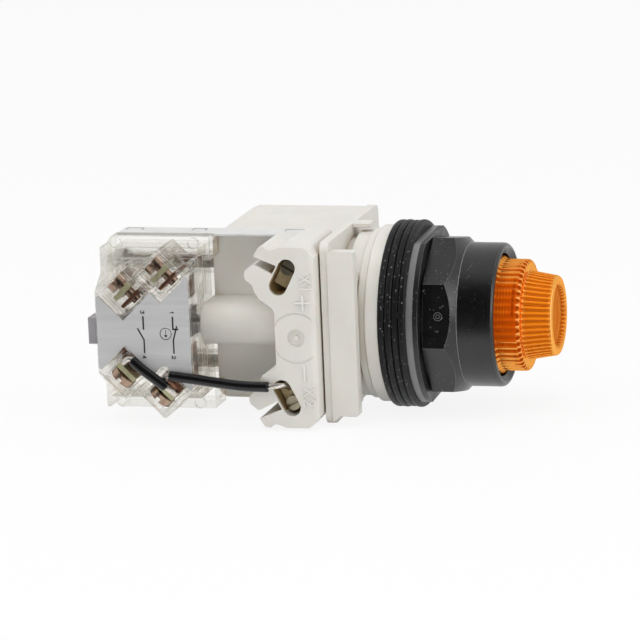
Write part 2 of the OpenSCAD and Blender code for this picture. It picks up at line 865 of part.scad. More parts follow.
module lamp_base() {
    color([0.78, 0.72, 0.55])
        union() {
            bar_x(lamp_back + 1.5, lamp_front, lamp_base_d / 2);
            bar_x(lamp_back, lamp_back + 1.6, 2.4);
            translate([lamp_back + 4, 0, 0])
                bar_y(0, 0, -lamp_base_d / 2 - 0.25, lamp_base_d / 2 + 0.25, 1);
        }
}

module lamp_socket_shell() {
    x1 = holder_front - shell_len;
    color([0.78, 0.65, 0.35])
        difference() {
            bar_x(x1, holder_front, shell_d / 2);
            bar_x(x1 - 1, holder_front + 1, shell_d / 2 - shell_t);
        }
}

module lamp_centre_contact() {
    color([0.78, 0.65, 0.35])
        union() {
            bar_x(-9, lamp_back, centre_d / 2);
            bar_x(-8, -6.5, centre_d / 2 + 1);
        }
}

module lamp_holder() {
    x1 = holder_front - shell_len;
    color([0.85, 0.83, 0.77])
        difference() {
            union() {
                bar_x(-cavity_floor, holder_front, holder_d / 2);
                bar_x(-cavity_floor, -cavity_floor + foot_t, foot_d / 2);
            }
            bar_x(x1, holder_front + 1, shell_d / 2);
            bar_x(-8, x1 + 1, centre_d / 2 + 1);
            bar_x(-9, x1 + 1, centre_d / 2);
            both()
                block([-cavity_floor - 1, -1.6, 4.4], [-14, 1.6, 5.4]);
        }
}

// Outline of the upper half of the terminal block in x and z, without the points on the axis.
plate_outline = [
    [-plate_front, plate_half - 2.5],
    [-plate_front - 1.5, plate_half - 0.6],
    [-plate_front - 2.4, plate_half],
    [-20.5, plate_half],
    [-21.7, plate_half - 0.5],
    [-22.8, plate_half - 0.8],
    [-23.4, plate_half - 0.6],
    [-24.2, plate_half],
    [-25.1, plate_half],
    [-25.6, plate_half - 0.2],
    [-26.7, plate_half - 1.9],
    [-26.6, plate_half - 2.2],
    [-21.4, plate_half - 4.3],
    [-22.4, plate_half - 6.2],
    [-26.5, plate_half - 4.1],
    [-27.2, plate_half - 4.1],
    [-28.7, plate_half - 5.3],
    [-29.1, plate_half - 6.2],
    [-29, plate_half - 7.5],
    [-27.4, plate_half - 8.7],
    [-27.1, plate_half - 9.2],
    [-26.9, plate_half - 10.3],
    [-25.8, plate_half - 12.1],
    [-22.8, plate_half - 14.2],
    [-22.3, plate_half - 15.1]
];
plate_lower = [for (i = [len(plate_outline) - 1 : -1 : 0]) [plate_outline[i][0], -plate_outline[i][1]]];

// Outline of a slot with round ends about the points p and q.
function slot_outline(p, q, r) =
    let (turn = atan2(q[1] - p[1], q[0] - p[0]))
    concat(
        [for (k = [0 : 8]) p + r * [cos(turn + 90 + 22.5 * k), sin(turn + 90 + 22.5 * k)]],
        [for (k = [0 : 8]) q + r * [cos(turn - 90 + 22.5 * k), sin(turn - 90 + 22.5 * k)]]
    );

module terminal_well() {
    plate_xz(slot_outline(well_a, well_b, well_r), -plate_face - 1, -plate_face + well_depth);
}

// A raised bar of a terminal sign, along the line from p to q in x and z.
module sign_bar(p, q) {
    run = q - p;
    translate([p[0], 0, p[1]])
        rotate([0, -atan2(run[1], run[0]), 0])
            block([-0.2, -plate_face - 0.25, -0.2], [norm(run) + 0.2, -plate_face + 0.1, 0.2]);
}

// A raised terminal letter and the two polarity signs, read from the front.
module terminal_signs() {
    for (z = [13.9, -12.6]) {
        sign_bar([-16, z - 0.9], [-13.2, z + 0.9]);
        sign_bar([-16, z + 0.9], [-13.2, z - 0.9]);
    }
    sign_bar([-16, 11.6], [-13.2, 11.6]);
    sign_bar([-13.2, 11.6], [-13.8, 12.2]);
    sign_bar([-16, -14.4], [-16, -16]);
    sign_bar([-16, -14.4], [-14.2, -15.8]);
    sign_bar([-14.2, -15.8], [-13.5, -15.6]);
    sign_bar([-13.5, -15.6], [-13.4, -14.6]);
    sign_bar([-13.4, -14.6], [-14, -14.4]);
    sign_bar([-17, 8.3], [-13.8, 8.3]);
    sign_bar([-15.4, 6.7], [-15.4, 9.9]);
    sign_bar([-15.6, -6.7], [-15.6, -9.9]);
}

module light_module_housing() {
    half = module_h / 2;
    color([0.86, 0.84, 0.78])
        difference() {
            union() {
                plate_xz(
                    [
                        [-base_back, -half],
                        [-base_back, half],
                        [-module_back + module_r, half],
                        [-module_back + module_r * 0.29, half - module_r * 0.29],
                        [-module_back, half - module_r],
                        [-module_back, -half + module_r],
                        [-module_back + module_r * 0.29, -half + module_r * 0.29],
                        [-module_back + module_r, -half]
                    ],
                    -module_near,
                    module_far
                );
                difference() {
                    plate_xz(concat(plate_outline, plate_lower), -plate_face, -module_near + 0.1);
                    difference() {
                        block(
                            [-plate_front - plate_round, -plate_face - 1, -base_h],
                            [-plate_front + 1, -plate_face + plate_round, base_h]
                        );
                        translate([-plate_front - plate_round, -plate_face + plate_round, -base_h])
                            cylinder(r = plate_round, h = 2 * base_h);
                    }
                }
                translate([0, -rod_offset, 0])
                    bar_x(-module_back, -22, tunnel_r);
                block([-module_back, -rod_offset, -tunnel_r], [-22, -module_near + 0.1, tunnel_r]);
                terminal_signs();
            }
            bar_x(-cavity_floor, -base_back + 1, cavity_r);
            translate([0, -rod_offset, 0])
                bar_x(-module_back - 1, -base_back, rod_d / 2 + slide_gap);
            both()
                terminal_well();
            difference() {
                bar_y(dimple_x, 0, -plate_face - 1, -plate_face + 0.6, 2);
                bar_y(dimple_x, 0, -plate_face + 0.1, -plate_face + 1, 0.6);
            }
            difference() {
                bar_y(dimple_x, 0, -plate_face - 1, -plate_face + 0.12, 5.9);
                bar_y(dimple_x, 0, -plate_face - 2, -plate_face + 1, 5.6);
            }
            for (s = [-1, 1])
                translate([0, module_screw_y, s * module_screw_z]) {
                    bar_x(-module_back - 1, -base_back + 1, module_screw_d / 2 + 0.1);
                    bar_x(-module_back - 1, -module_back + module_pocket, module_head_d / 2 + 0.2);
                }
            for (s = [-1, 1])
                translate([0, mount_y, s * mount_z])
                    bar_x(-module_back - 1, -module_back + 9, mount_d / 2);
            both() {
                block(
                    [strap_x - strap_t - 0.2, -plate_face + well_depth - 1, strap_low - 0.1],
                    [strap_x + 0.2, strap_y - 0.5, strap_high + 0.1]
                );
                block(
                    [strap_x - strap_t - 0.2, strap_y - 1.1, strap_pin_z - 0.3],
                    [strap_x + 0.2, strap_y + 0.1, strap_high + 0.1]
                );
                block(
                    [strap_x - strap_t - 0.2, strap_y - 1.1, strap_pin_z - 0.3],
                    [strap_x + 0.2, strap_pin_w / 2 + 0.4, strap_pin_z + strap_t + 0.3]
                );
            }
            block(
                [-module_back - 1, -strip_near - strip_w - 0.1, strip_z],
                [strip_len - strip_back + 0.1, 0.1 - strip_near, strip_z + 3]
            );
        }
}

module label_strip() {
    x1 = -strip_back;
    x2 = x1 + strip_len;
    color([0.93, 0.93, 0.92])
        translate([0, 0, strip_z])
            linear_extrude(height = strip_t)
                polygon([
                    [x1, -strip_near - strip_w],
                    [x2 - 1.6, -strip_near - strip_w],
                    [x2 - 0.4, 0.6 - strip_near - strip_w / 2],
                    [x2 - 1.6, -strip_near],
                    [x1, -strip_near]
                ]);
}

module supply_screws() {
    color([0.72, 0.7, 0.62])
        both()
            difference() {
                union() {
                    bar_y(
                        supply_screw[0], supply_screw[1],
                        -supply_face, -supply_face + supply_head_t, supply_head_d / 2
                    );
                    bar_y(
                        supply_screw[0], supply_screw[1],
                        -supply_face + 1, -supply_face + supply_shank_len, supply_shank_d / 2
                    );
                }
                translate([supply_screw[0], -supply_face, supply_screw[1]])
                    rotate([0, 30, 0])
                        block([-3, -1, -0.3], [3, 0.6, 0.3]);
            }
}

// Hole for a supply screw, to be cut from its clamp and its strap.
module supply_hole() {
    bar_y(
        supply_screw[0], supply_screw[1],
        -supply_face - 1, -supply_face + supply_shank_len + 1, supply_shank_d / 2 + 0.05
    );
}

// Local frame of a supply clamp. Its x runs along the slot of the terminal well.
module at_supply_clamp(y) {
    translate([supply_clamp[0], y, supply_clamp[1]])
        rotate([0, -well_turn, 0])
            children();
}

module supply_clamps() {
    y1 = -supply_face + supply_head_t;
    color([0.6, 0.55, 0.42])
        both()
            difference() {
                at_supply_clamp(y1)
                    block([-2.6, 0, -strap_w / 2], [3.4, supply_clamp_t, strap_w / 2]);
                supply_hole();
            }
}

module supply_strap() {
    x1 = strap_x - strap_t;
    y1 = -plate_face + well_depth - 1;
    y2 = y1 + strap_t;
    color([0.75, 0.62, 0.35])
        difference() {
            union() {
                at_supply_clamp(y1)
                    block([-2.8, 0, -strap_w / 2], [3.4, strap_t, strap_w / 2]);
                block([x1, y2 - 0.4, strap_low], [strap_x, strap_y - 0.1, strap_high]);
                block([x1, strap_y - 1, strap_pin_z - 0.2], [strap_x, strap_y, strap_high]);
                block([x1, strap_y - 1, strap_pin_z], [strap_x, strap_pin_w / 2, strap_pin_z + strap_t]);
                block([x1, -strap_pin_w / 2, strap_pin_z], [-14.2, strap_pin_w / 2, strap_pin_z + strap_t]);
            }
            supply_hole();
        }
}

module supply_strap_upper() {
    supply_strap();
}

module supply_strap_lower() {
    mirror([0, 0, 1])
        supply_strap();
}

// Places for the four pins of the clear housing.
pin_x = [-(block_front + 2), -(block_back - 2.1)];
pin_z = block_half - 1.4;

module contact_block_base() {
    x1 = -block_back;
    x2 = -block_front;
    w = clear_wall;
    color([0.85, 0.86, 0.84, 0.4])
        difference() {
            union() {
                translate([0, -block_split, 0])
                    rotate([-90, 0, 0])
                        linear_extrude(height = block_split - block_far)
                            polygon([
                                [x1 + 1, -block_half],
                                [x1, -block_half + 1],
                                [x1, block_half - 1],
                                [x1 + 1, block_half],
                                [x2, block_half],
                                [x2, -block_half]
                            ]);
                both()
                    translate([0, mount_y, mount_z])
                        bar_x(x1, x2, mount_d / 2 + 1.1);
                both()
                    block([x2 - 0.1, -block_split, 15], [x2 + 1.6, -module_near - 0.3, block_half]);
                for (x = pin_x)
                    for (s = [-1, 1])
                        bar_y(x, s * pin_z, -block_split - 1, -block_split + 1, pin_d / 2);
            }
            block([x1 + w, -block_split - 2, -block_half + 2.8], [x2 - w, -block_far - 1.2, block_half - 2.8]);
            block([x1 - 1, -block_far - strip_w + 0.2, strip_z], [x2 + 3, -block_far + 1, block_half + 1]);
            both()
                translate([0, mount_y, mount_z])
                    bar_x(x1 - 1, x2 + 1, mount_d / 2);
            translate([0, -rod_offset, 0])
                bar_x(x2 - 3, x2 + 1, rod_d / 2 + free_gap);
        }
}

module tower_outer(cx, cz) {
    at_terminal(cx, cz)
        block([-tower_half, -rim_face, -tower_half], [tower_half, -block_split, tower_half]);
}

module tower_pocket(cx, cz) {
    w = clear_wall;
    at_terminal(cx, cz) {
        block(
            [-tower_half + well_side_wall, -rim_face - 1, -tower_half + well_wall],
            [tower_half - w, -well_floor, tower_half - well_wall]
        );
        block([0, -rim_face - 1, -tower_half + well_wall], [tower_half - 0.5, -well_floor - 2, -1.7]);
        translate([0, screw_y, tower_half - well_wall - 0.1])
            cylinder(r = head_d / 2 + 0.2, h = well_wall + 1);
        block([-2.4, -rim_face - 1, -tower_half - 1], [3, -cover_face + 0.3, 0]);
        block(
            [leg_x - 0.2, -well_floor - 1, leg_z - 0.1],
            [leg_x + leaf_t + 0.2, -block_split + 1, leg_z + leg_w + 0.1]
        );
    }
}

module contact_block_cover() {
    x1 = -block_back;
    x2 = -block_front;
    w = clear_wall;
    color([0.85, 0.86, 0.84, 0.4])
        difference() {
            union() {
                bar_yz(
                    [
                        [-cover_face, -crown_half], [-cover_face, crown_half],
                        [-mid_face, crown_half + 3.5], [-mid_face, -crown_half - 3.5]
                    ],
                    x1, x2
                );
                block([front_back, -cover_face, -front_terminal_z], [x2, -mid_face, front_terminal_z]);
                block([x1, -mid_face, -mid_half + 2.4], [x2, -block_split, mid_half - 2.4]);
                block([x1, -mid_face, -mid_half], [x1 + 0.8, -block_split, mid_half]);
                both() {
                    tower_outer(front_cx, front_terminal_z);
                    tower_outer(rear_cx, rear_terminal_z);
                }
            }
            difference() {
                union() {
                    block(
                        [x1 + w, -cover_face + 1, w - crown_half],
                        [x2 - w, -block_split + 1, crown_half - w]
                    );
                    block(
                        [x1 + w, -mid_face + 1, 3 * w - mid_half],
                        [x2 - w, -block_split + 1, mid_half - 3 * w]
                    );
                }
                both() {
                    tower_outer(front_cx, front_terminal_z);
                    tower_outer(rear_cx, rear_terminal_z);
                }
            }
            both() {
                tower_pocket(front_cx, front_terminal_z);
                tower_pocket(rear_cx, rear_terminal_z);
            }
            block(
                [x1 - 1, -tail_near - 0.2, -tail_half - 0.2],
                [x1 + 3, tail_depth - tail_near + 0.2, tail_half + 0.2]
            );
            translate([0, -rod_offset, 0])
                bar_x(x2 - 3, x2 + 1, rod_d / 2 + free_gap);
            block([x2 - 3, -20.4, -1.2], [x2 + 1, -18.2, 1.2]);
        }
}

module label_plate() {
    x1 = -block_back + label_margin;
    x2 = -block_front - label_margin;
    rear_half = crown_half - clear_wall;
    side_half = rear_half + 3.6;
    front_half = front_terminal_z - label_margin;
    color([0.9, 0.9, 0.91])
        difference() {
            plate_xz(
                [
                    [x1, -rear_half],
                    [x1, rear_half],
                    [rear_cx, side_half],
                    [front_back + 2, side_half],
                    [front_back + 2, front_half],
                    [x2, front_half],
                    [x2, -front_half],
                    [front_back + 2, -front_half],
                    [front_back + 2, -side_half],
                    [rear_cx, -side_half]
                ],
                -cover_face - label_t, -cover_face
            );
            both()
                for (c = [[front_cx, front_terminal_z], [rear_cx, rear_terminal_z]])
                    at_terminal(c[0], c[1])
                        block([-tower_half - 0.05, -30, -tower_half - 0.05], [9, -20, 9]);
        }
}

module terminal_screw(cx, cz) {
    at_terminal(cx, cz)
        translate([0, screw_y, 0])
            difference() {
                union() {
                    translate([0, 0, head_z])
                        cylinder(r = head_d / 2, h = head_t);
                    translate([0, 0, leaf_z - 0.9])
                        cylinder(r = shank_d / 2, h = head_z - leaf_z + 1);
                }
                block([-slot_w / 2, -4, head_z + head_t - 0.9], [slot_w / 2, 4, head_z + head_t + 1]);
            }
}

// Hole for a terminal screw, to be cut from the clamp and the contact.
module screw_hole() {
    translate([0, screw_y, -tower_half])
        cylinder(r = shank_d / 2 + 0.05, h = 2 * tower_half);
}

module contact_screws() {
    color([0.8, 0.79, 0.74])
        both() {
            terminal_screw(front_cx, front_terminal_z);
            terminal_screw(rear_cx, rear_terminal_z);
        }
}

module wire_clamp(cx, cz) {
    at_terminal(cx, cz)
        difference() {
            block(
                [-clamp_half, screw_y - clamp_len / 2, clamp_z],
                [clamp_half, screw_y + clamp_len / 2, clamp_z + clamp_t]
            );
            screw_hole();
        }
}

module wire_clamps() {
    color([0.74, 0.7, 0.42])
        both() {
            wire_clamp(front_cx, front_terminal_z);
            wire_clamp(rear_cx, rear_terminal_z);
        }
}

// The part of a fixed contact that sits in its terminal well.
module contact_leaf(cx, cz) {
    y2 = -well_floor - 0.2;
    at_terminal(cx, cz)
        difference() {
            union() {
                block([leg_x, screw_y - 3, leaf_z], [clamp_half, y2, leaf_z + leaf_t]);
                block([leg_x, y2 - leaf_t, leaf_z], [leg_x + leaf_t, y2, leg_z + leg_w]);
                block([leg_x, y2 - leaf_t, leg_z], [leg_x + leaf_t, -rail_reach, leg_z + leg_w]);
            }
            screw_hole();
        }
}

module front_contact() {
    x = nc_x + leaf_t + 2 * pad_t;
    z1 = front_terminal_z - 0.9;
    color([0.75, 0.42, 0.28])
        union() {
            contact_leaf(front_cx, front_terminal_z);
            block([front_cx - 4.8, -rail_reach - leaf_t, z1], [x, -rail_reach, z1 + 2.1]);
            block([x - 0.1, -rail_reach - leaf_t, tab_low], [x + leaf_t, -rail_reach, z1 + 2.1]);
            block([x, tab_y, tab_low], [x + leaf_t, -rail_reach, tab_high]);
            translate([0, bridge_y, pad_z])
                bar_x(x - pad_t, x + 0.1, pad_d / 2);
        }
}

module rear_contact() {
    x = no_pad_x;
    color([0.75, 0.42, 0.28])
        union() {
            contact_leaf(rear_cx, rear_terminal_z);
            block(
                [x - leaf_t, -rail_reach - leaf_t, tab_low],
                [x + 2 * leaf_t, -rail_reach, rear_terminal_z + 2 * leaf_t]
            );
            block([x - leaf_t, tab_y, tab_low], [x, -rail_reach, tab_high - 0.2]);
            translate([0, bridge_y, pad_z])
                bar_x(x - 0.1, x + pad_t, pad_d / 2);
        }
}

module fixed_contact_1() {
    front_contact();
}

module fixed_contact_2() {
    mirror([0, 0, 1])
        front_contact();
}

module fixed_contact_3() {
    rear_contact();
}

module fixed_contact_4() {
    mirror([0, 0, 1])
        rear_contact();
}

module contact_carrier() {
    h = carrier_half;
    slot_r = bridge_w / 2 + 0.05;
    color([0.62, 0.6, 0.6])
        difference() {
            union() {
                block([carrier_back, -16.5, 0.8 - h], [carrier_front, -14, h - 0.8]);
                block([carrier_back, bridge_y - slot_r - 0.1, -h], [carrier_front, -9.5, h]);
                block([carrier_front - 0.1, -rod_offset - 1.5, -1.5], [-block_front, -rod_offset + 1.5, 1.5]);
                block([carrier_front - 1, -20.2, -1], [-block_front, -18.4, 1]);
                block([carrier_front - 1, -18.5, -1], [carrier_front, -16.4, 1]);
                block([arm_back, -tail_near, -tail_half], [carrier_back + 0.1, -9.5, tail_half]);
                block(
                    [-block_back - tail_out, -tail_near, -tail_half],
                    [arm_back + 0.1, tail_depth - tail_near, tail_half]
                );
                block([carrier_front - 4, -9.6, -1.8], [carrier_front - 3, -5.4, 1.8]);
            }
            block(
                [nc_x - bridge_spring_len, bridge_y - slot_r, -h - 1],
                [nc_x + leaf_t, bridge_y + slot_r, h + 1]
            );
            block([no_x - leaf_t, bridge_y - slot_r, -h - 1], [no_x + open_len, bridge_y + slot_r, h + 1]);
        }
}

module bridge(x, pad_side) {
    color([0.75, 0.42, 0.28])
        union() {
            block(
                [x, bridge_y - bridge_w / 2, -bridge_half],
                [x + leaf_t, bridge_y + bridge_w / 2, bridge_half]
            );
            both()
                translate([0, bridge_y, pad_z])
                    if (pad_side > 0)
                        bar_x(x + leaf_t - 0.1, x + leaf_t + pad_t, pad_d / 2);
                    else
                        bar_x(x - pad_t, x + 0.1, pad_d / 2);
        }
}

module bridge_closed() {
    bridge(nc_x, 1);
}

module bridge_open() {
    bridge(no_x - leaf_t, -1);
}

module small_spring(x1, x2, y, r, turns) {
    color([0.7, 0.7, 0.72])
        translate([0, y, 0])
            swept(
                coil_route(x1 + small_wire / 2, x2 - small_wire / 2, r, turns, 10),
                small_wire / 2, 6, [1, 0, 0]
            );
}

module bridge_closed_spring() {
    small_spring(nc_x - bridge_spring_len, nc_x, bridge_y, 1.2, 3);
}

module bridge_open_spring() {
    small_spring(no_x, no_x + open_len, bridge_y, 1.2, 3);
}

module carrier_spring() {
    small_spring(-block_back + clear_wall, carrier_front - 4, -7.3, 1.4, 6);
}

module block_screws() {
    color([0.72, 0.72, 0.73])
        both()
            translate([0, mount_y, mount_z])
                difference() {
                    union() {
                        bar_x(-block_back, -block_front + 8.5, mount_d / 2);
                        bar_x(-block_back - 2, -block_back, 3);
                    }
                    block([-block_back - 3, -4, -slot_w / 2], [-block_back - 1.1, 4, slot_w / 2]);
                }
}

module module_screws() {
    head_back = -module_back + module_pocket - module_head_t;
    color([0.72, 0.72, 0.73])
        for (s = [-1, 1])
            translate([0, module_screw_y, s * module_screw_z])
                difference() {
                    union() {
                        bar_x(-module_back + module_pocket, -base_front - 0.5, module_screw_d / 2);
                        bar_x(head_back, -module_back + module_pocket, module_head_d / 2);
                    }
                    block(
                        [head_back - 1, -module_head_d, -slot_w / 2],
                        [head_back + 1, module_head_d, slot_w / 2]
                    );
                }
}

module jumper_short() {
    color([0.08, 0.08, 0.09])
        swept(smooth_route(short_route, 2), wire_d / 2, 10, [0, 1, 0]);
}

module jumper_short_strands() {
    color([0.85, 0.8, 0.74]) {
        swept(smooth_route(short_tail_1, 3), strand_d / 2, 8, [0, 0.3, 1]);
        swept(smooth_route(short_tail_2, 2), strand_d / 2, 8, [0, 0.3, 1]);
    }
}

module jumper_long() {
    color([0.08, 0.08, 0.09])
        swept(smooth_route(long_route, 3), wire_d / 2, 10, [0, 1, 0]);
}

module jumper_long_strands() {
    color([0.85, 0.8, 0.74]) {
        swept(smooth_route(long_tail_1, 2), strand_d / 2, 8, [0, 0.3, 1]);
        swept(smooth_route(long_tail_2, 3), strand_d / 2, 8, [0, 0.3, 1]);
    }
}

lens();
ring_nut();
trim_washer_black();
trim_washer_grey();
gasket_1();
gasket_2();
gasket_3();
gasket_4();
operator_body();
lens_carrier();
return_spring();
pusher();
lamp_bulb();
lamp_base();
lamp_socket_shell();
lamp_centre_contact();
lamp_holder();
light_module_housing();
label_strip();
supply_screws();
supply_clamps();
supply_strap_upper();
supply_strap_lower();
contact_block_base();
contact_block_cover();
label_plate();
contact_screws();
wire_clamps();
fixed_contact_1();
fixed_contact_2();
fixed_contact_3();
fixed_contact_4();
contact_carrier();
bridge_closed();
bridge_open();
bridge_closed_spring();
bridge_open_spring();
carrier_spring();
block_screws();
module_screws();
jumper_short();
jumper_short_strands();
jumper_long();
jumper_long_strands();
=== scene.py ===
"""Looks of the panel pilot light: materials, printed marks, bare wire strands, light and camera."""

import json
import math
import random

import bpy
from mathutils import Matrix, Vector


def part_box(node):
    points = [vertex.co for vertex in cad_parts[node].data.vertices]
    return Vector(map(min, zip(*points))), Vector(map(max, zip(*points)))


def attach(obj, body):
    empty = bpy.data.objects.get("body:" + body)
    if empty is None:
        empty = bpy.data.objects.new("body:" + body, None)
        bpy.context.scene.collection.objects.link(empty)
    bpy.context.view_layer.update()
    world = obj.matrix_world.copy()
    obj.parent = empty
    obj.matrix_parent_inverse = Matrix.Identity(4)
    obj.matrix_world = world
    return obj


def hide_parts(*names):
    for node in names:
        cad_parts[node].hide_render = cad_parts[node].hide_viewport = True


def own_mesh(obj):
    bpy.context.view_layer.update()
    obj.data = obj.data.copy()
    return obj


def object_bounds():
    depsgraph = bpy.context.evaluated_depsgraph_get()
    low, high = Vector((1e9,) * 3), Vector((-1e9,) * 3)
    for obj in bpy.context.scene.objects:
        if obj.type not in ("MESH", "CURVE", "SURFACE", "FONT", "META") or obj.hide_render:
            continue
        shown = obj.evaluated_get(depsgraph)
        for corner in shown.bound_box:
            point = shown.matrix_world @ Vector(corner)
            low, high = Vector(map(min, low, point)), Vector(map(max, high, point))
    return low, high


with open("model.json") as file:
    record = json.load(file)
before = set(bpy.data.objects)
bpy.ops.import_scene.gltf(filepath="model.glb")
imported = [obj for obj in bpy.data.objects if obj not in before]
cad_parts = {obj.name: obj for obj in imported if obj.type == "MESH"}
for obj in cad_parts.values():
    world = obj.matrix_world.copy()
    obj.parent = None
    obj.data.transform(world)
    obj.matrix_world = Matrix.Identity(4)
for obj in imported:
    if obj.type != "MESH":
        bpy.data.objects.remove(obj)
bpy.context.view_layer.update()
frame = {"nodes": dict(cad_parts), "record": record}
nodes = frame["nodes"]

MM = 0.001
IMAGE_SIZE = 640

# Camera of the photograph, in millimetres and degrees, in the part's own frame.
CAMERA_PLACE = (238.95, -942.6, 212.8)
CAMERA_YAW = -15.32
CAMERA_PITCH = -12.40
CAMERA_ROLL = -2.38
CAMERA_FOCUS_PX = 4260.0
CAMERA_NEAR = 50.0
CAMERA_FAR = 20000.0
SENSOR_WIDTH = 36.0

# Light of the photograph: a bright tent that is open, and so dark, in front of the object. The dark begins
# and is full where the cosine of the angle to the opening has these values.
TENT_OPENING = (-0.05, -0.95, 0.25)
TENT_LIGHT = 0.78
TENT_DARK = 0.03
TENT_DARK_FROM = 0.38
TENT_DARK_FULL = 0.80

# The place, in metres, at which every lamp aims.
LIGHT_AIM = (-0.015, 0.0, 0.0)

# The floor, in metres. Reflections see it fade from white into the opening's dark along Y.
FLOOR_HALF = 2.2
FLOOR_BRIGHT_TO = -0.045
FLOOR_DARK_FROM = -0.11
FLOOR_DARKNESS = 0.96
FLOOR_WHITENESS = 0.88

# Front of the light module, in millimetres: its moulded dimple and the two supply wells. The painted shade
# in the wells is full up to WELL_FULL_Y and ends at WELL_MOUTH_Y.
DIMPLE_X = -17.35
DIMPLE_R = 6.6
DIMPLE_RIM_Y = -27.0
WELL_X = -20.1
WELL_Z = 13.05
WELL_HALF_X = 3.3
WELL_HALF_Z = 4.3
WELL_BACK_Y = -15.0
WELL_FULL_Y = -27.0
WELL_MOUTH_Y = -28.26

# The ring nut, in millimetres and degrees.
NUT_FACET_TILT = 10.2
NUT_FLAT_R = 17.85
NUT_COLLAR_R = 16.75
NUT_FILLET_X = 17.5
# A thin raised hoop in the nut's fillet, painted light grey as the fillet's highlight.
FILLET_LINE_R = NUT_COLLAR_R + 0.01
FILLET_LINE_THICK = 0.09
LIP_X = 26.0
LIP_R = 15.65
LIP_SLOPE = 1.45
LIP_RINGS = (14.6, 15.0, 15.4)
LIP_RING_THICK = 0.035

# The lens, in millimetres: its form, the thread and dark band that show through its base, the teeth of its
# shoulder, the painted highlight that rings its face and the floor of its recess, which has painted shade.
LENS_HEAD_REAR = 20.0
LENS_MOUTH = 24.6
LENS_SHOULDER = 31.4
LENS_FRONT = 38.2
LENS_BASE_R = 13.0
LENS_FLUTES = 48
FLUTE_STEPS = 12
FLUTE_SHARPNESS = 1.4
FLUTE_DEPTH = 0.38
FLUTE_DEPTH_BASE = 0.16
SPIGOT_R = 11.4
SPIGOT_WALL = 1.2
THREAD_R = 11.4
THREAD_PITCH = 0.69
BAND_X = 29.75
BAND_HALF = 0.32
THREAD_END_X = BAND_X - 0.6
TEETH_X = LENS_SHOULDER - 0.3
TEETH_HALF = 0.55
RIM_R = 9.05
RIM_HALF = 0.12
RIM_X = LENS_FRONT - 0.4
RECESS_DEPTH = 1.2
RECESS_R = 7.3
RECESS_X = LENS_FRONT - RECESS_DEPTH - 0.1
LENS_IOR = 1.35

# Colours as linear light.
WHITE = (1.0, 1.0, 1.0)
IVORY_DULL = (0.690, 0.668, 0.620)
IVORY_BRIGHT = (0.735, 0.715, 0.668)
IVORY_SHADE = (0.86, 0.82, 0.75)
CREASE_SHADE_BROWN = (0.60, 0.43, 0.22)
WELL_SHADE_BROWN = (0.36, 0.25, 0.11)
DIRT_BROWN = (0.22, 0.17, 0.12)
GAP_SHADE_BROWN = (0.06, 0.04, 0.022)
STAIN_BROWN = (0.25, 0.2, 0.12)
WORN_GREY = (0.33, 0.33, 0.335)
DUST_GREY = (0.075, 0.073, 0.072)
BLACK_NUT = (0.0032, 0.0032, 0.0035)
BLACK_TRIM = (0.007, 0.007, 0.0075)
PRINT_BLACK = (0.012, 0.012, 0.013)
RUBBER_DARK = (0.0025, 0.0025, 0.003)
RUBBER_PALE = (0.010, 0.010, 0.011)
WASHER_DARK = (0.19, 0.187, 0.19)
WASHER_PALE = (0.235, 0.23, 0.235)
SILVER_DARK = (0.51, 0.51, 0.515)
SILVER_PALE = (0.57, 0.57, 0.575)
CLEAR_FACING = (0.985, 0.98, 0.965)
CLEAR_SLANTED = (0.955, 0.948, 0.925)
CLEAR_GRAZING = (0.66, 0.64, 0.59)
CLEAR_DULL = (0.92, 0.91, 0.88)
CLEAR_PALE_AND_HIGHLIGHT = (0.97, 0.965, 0.945)
GLASS_DULL = (0.86, 0.83, 0.76)
GLASS_BRIGHT = (0.95, 0.92, 0.86)
COPPER = (0.34, 0.17, 0.11)
YELLOW_PLATE = (0.50, 0.49, 0.30)
STEEL = (0.40, 0.36, 0.26)
STRAP_OLIVE = (0.50, 0.40, 0.23)
SCREW_PINK = (0.50, 0.37, 0.29)
AMBER_DEEP = (0.34, 0.036, 0.0008)
AMBER_BASE = (0.64, 0.092, 0.0015)
AMBER_DASH = (0.80, 0.20, 0.012)
AMBER_CONE = (0.84, 0.235, 0.010)
AMBER_RIM = (0.90, 0.34, 0.045)
AMBER_HIGHLIGHT = (1.0, 0.58, 0.20)
AMBER_RECESS_SHADE = (0.46, 0.095, 0.004)
AMBER_SHINE = (1.0, 0.45, 0.09)


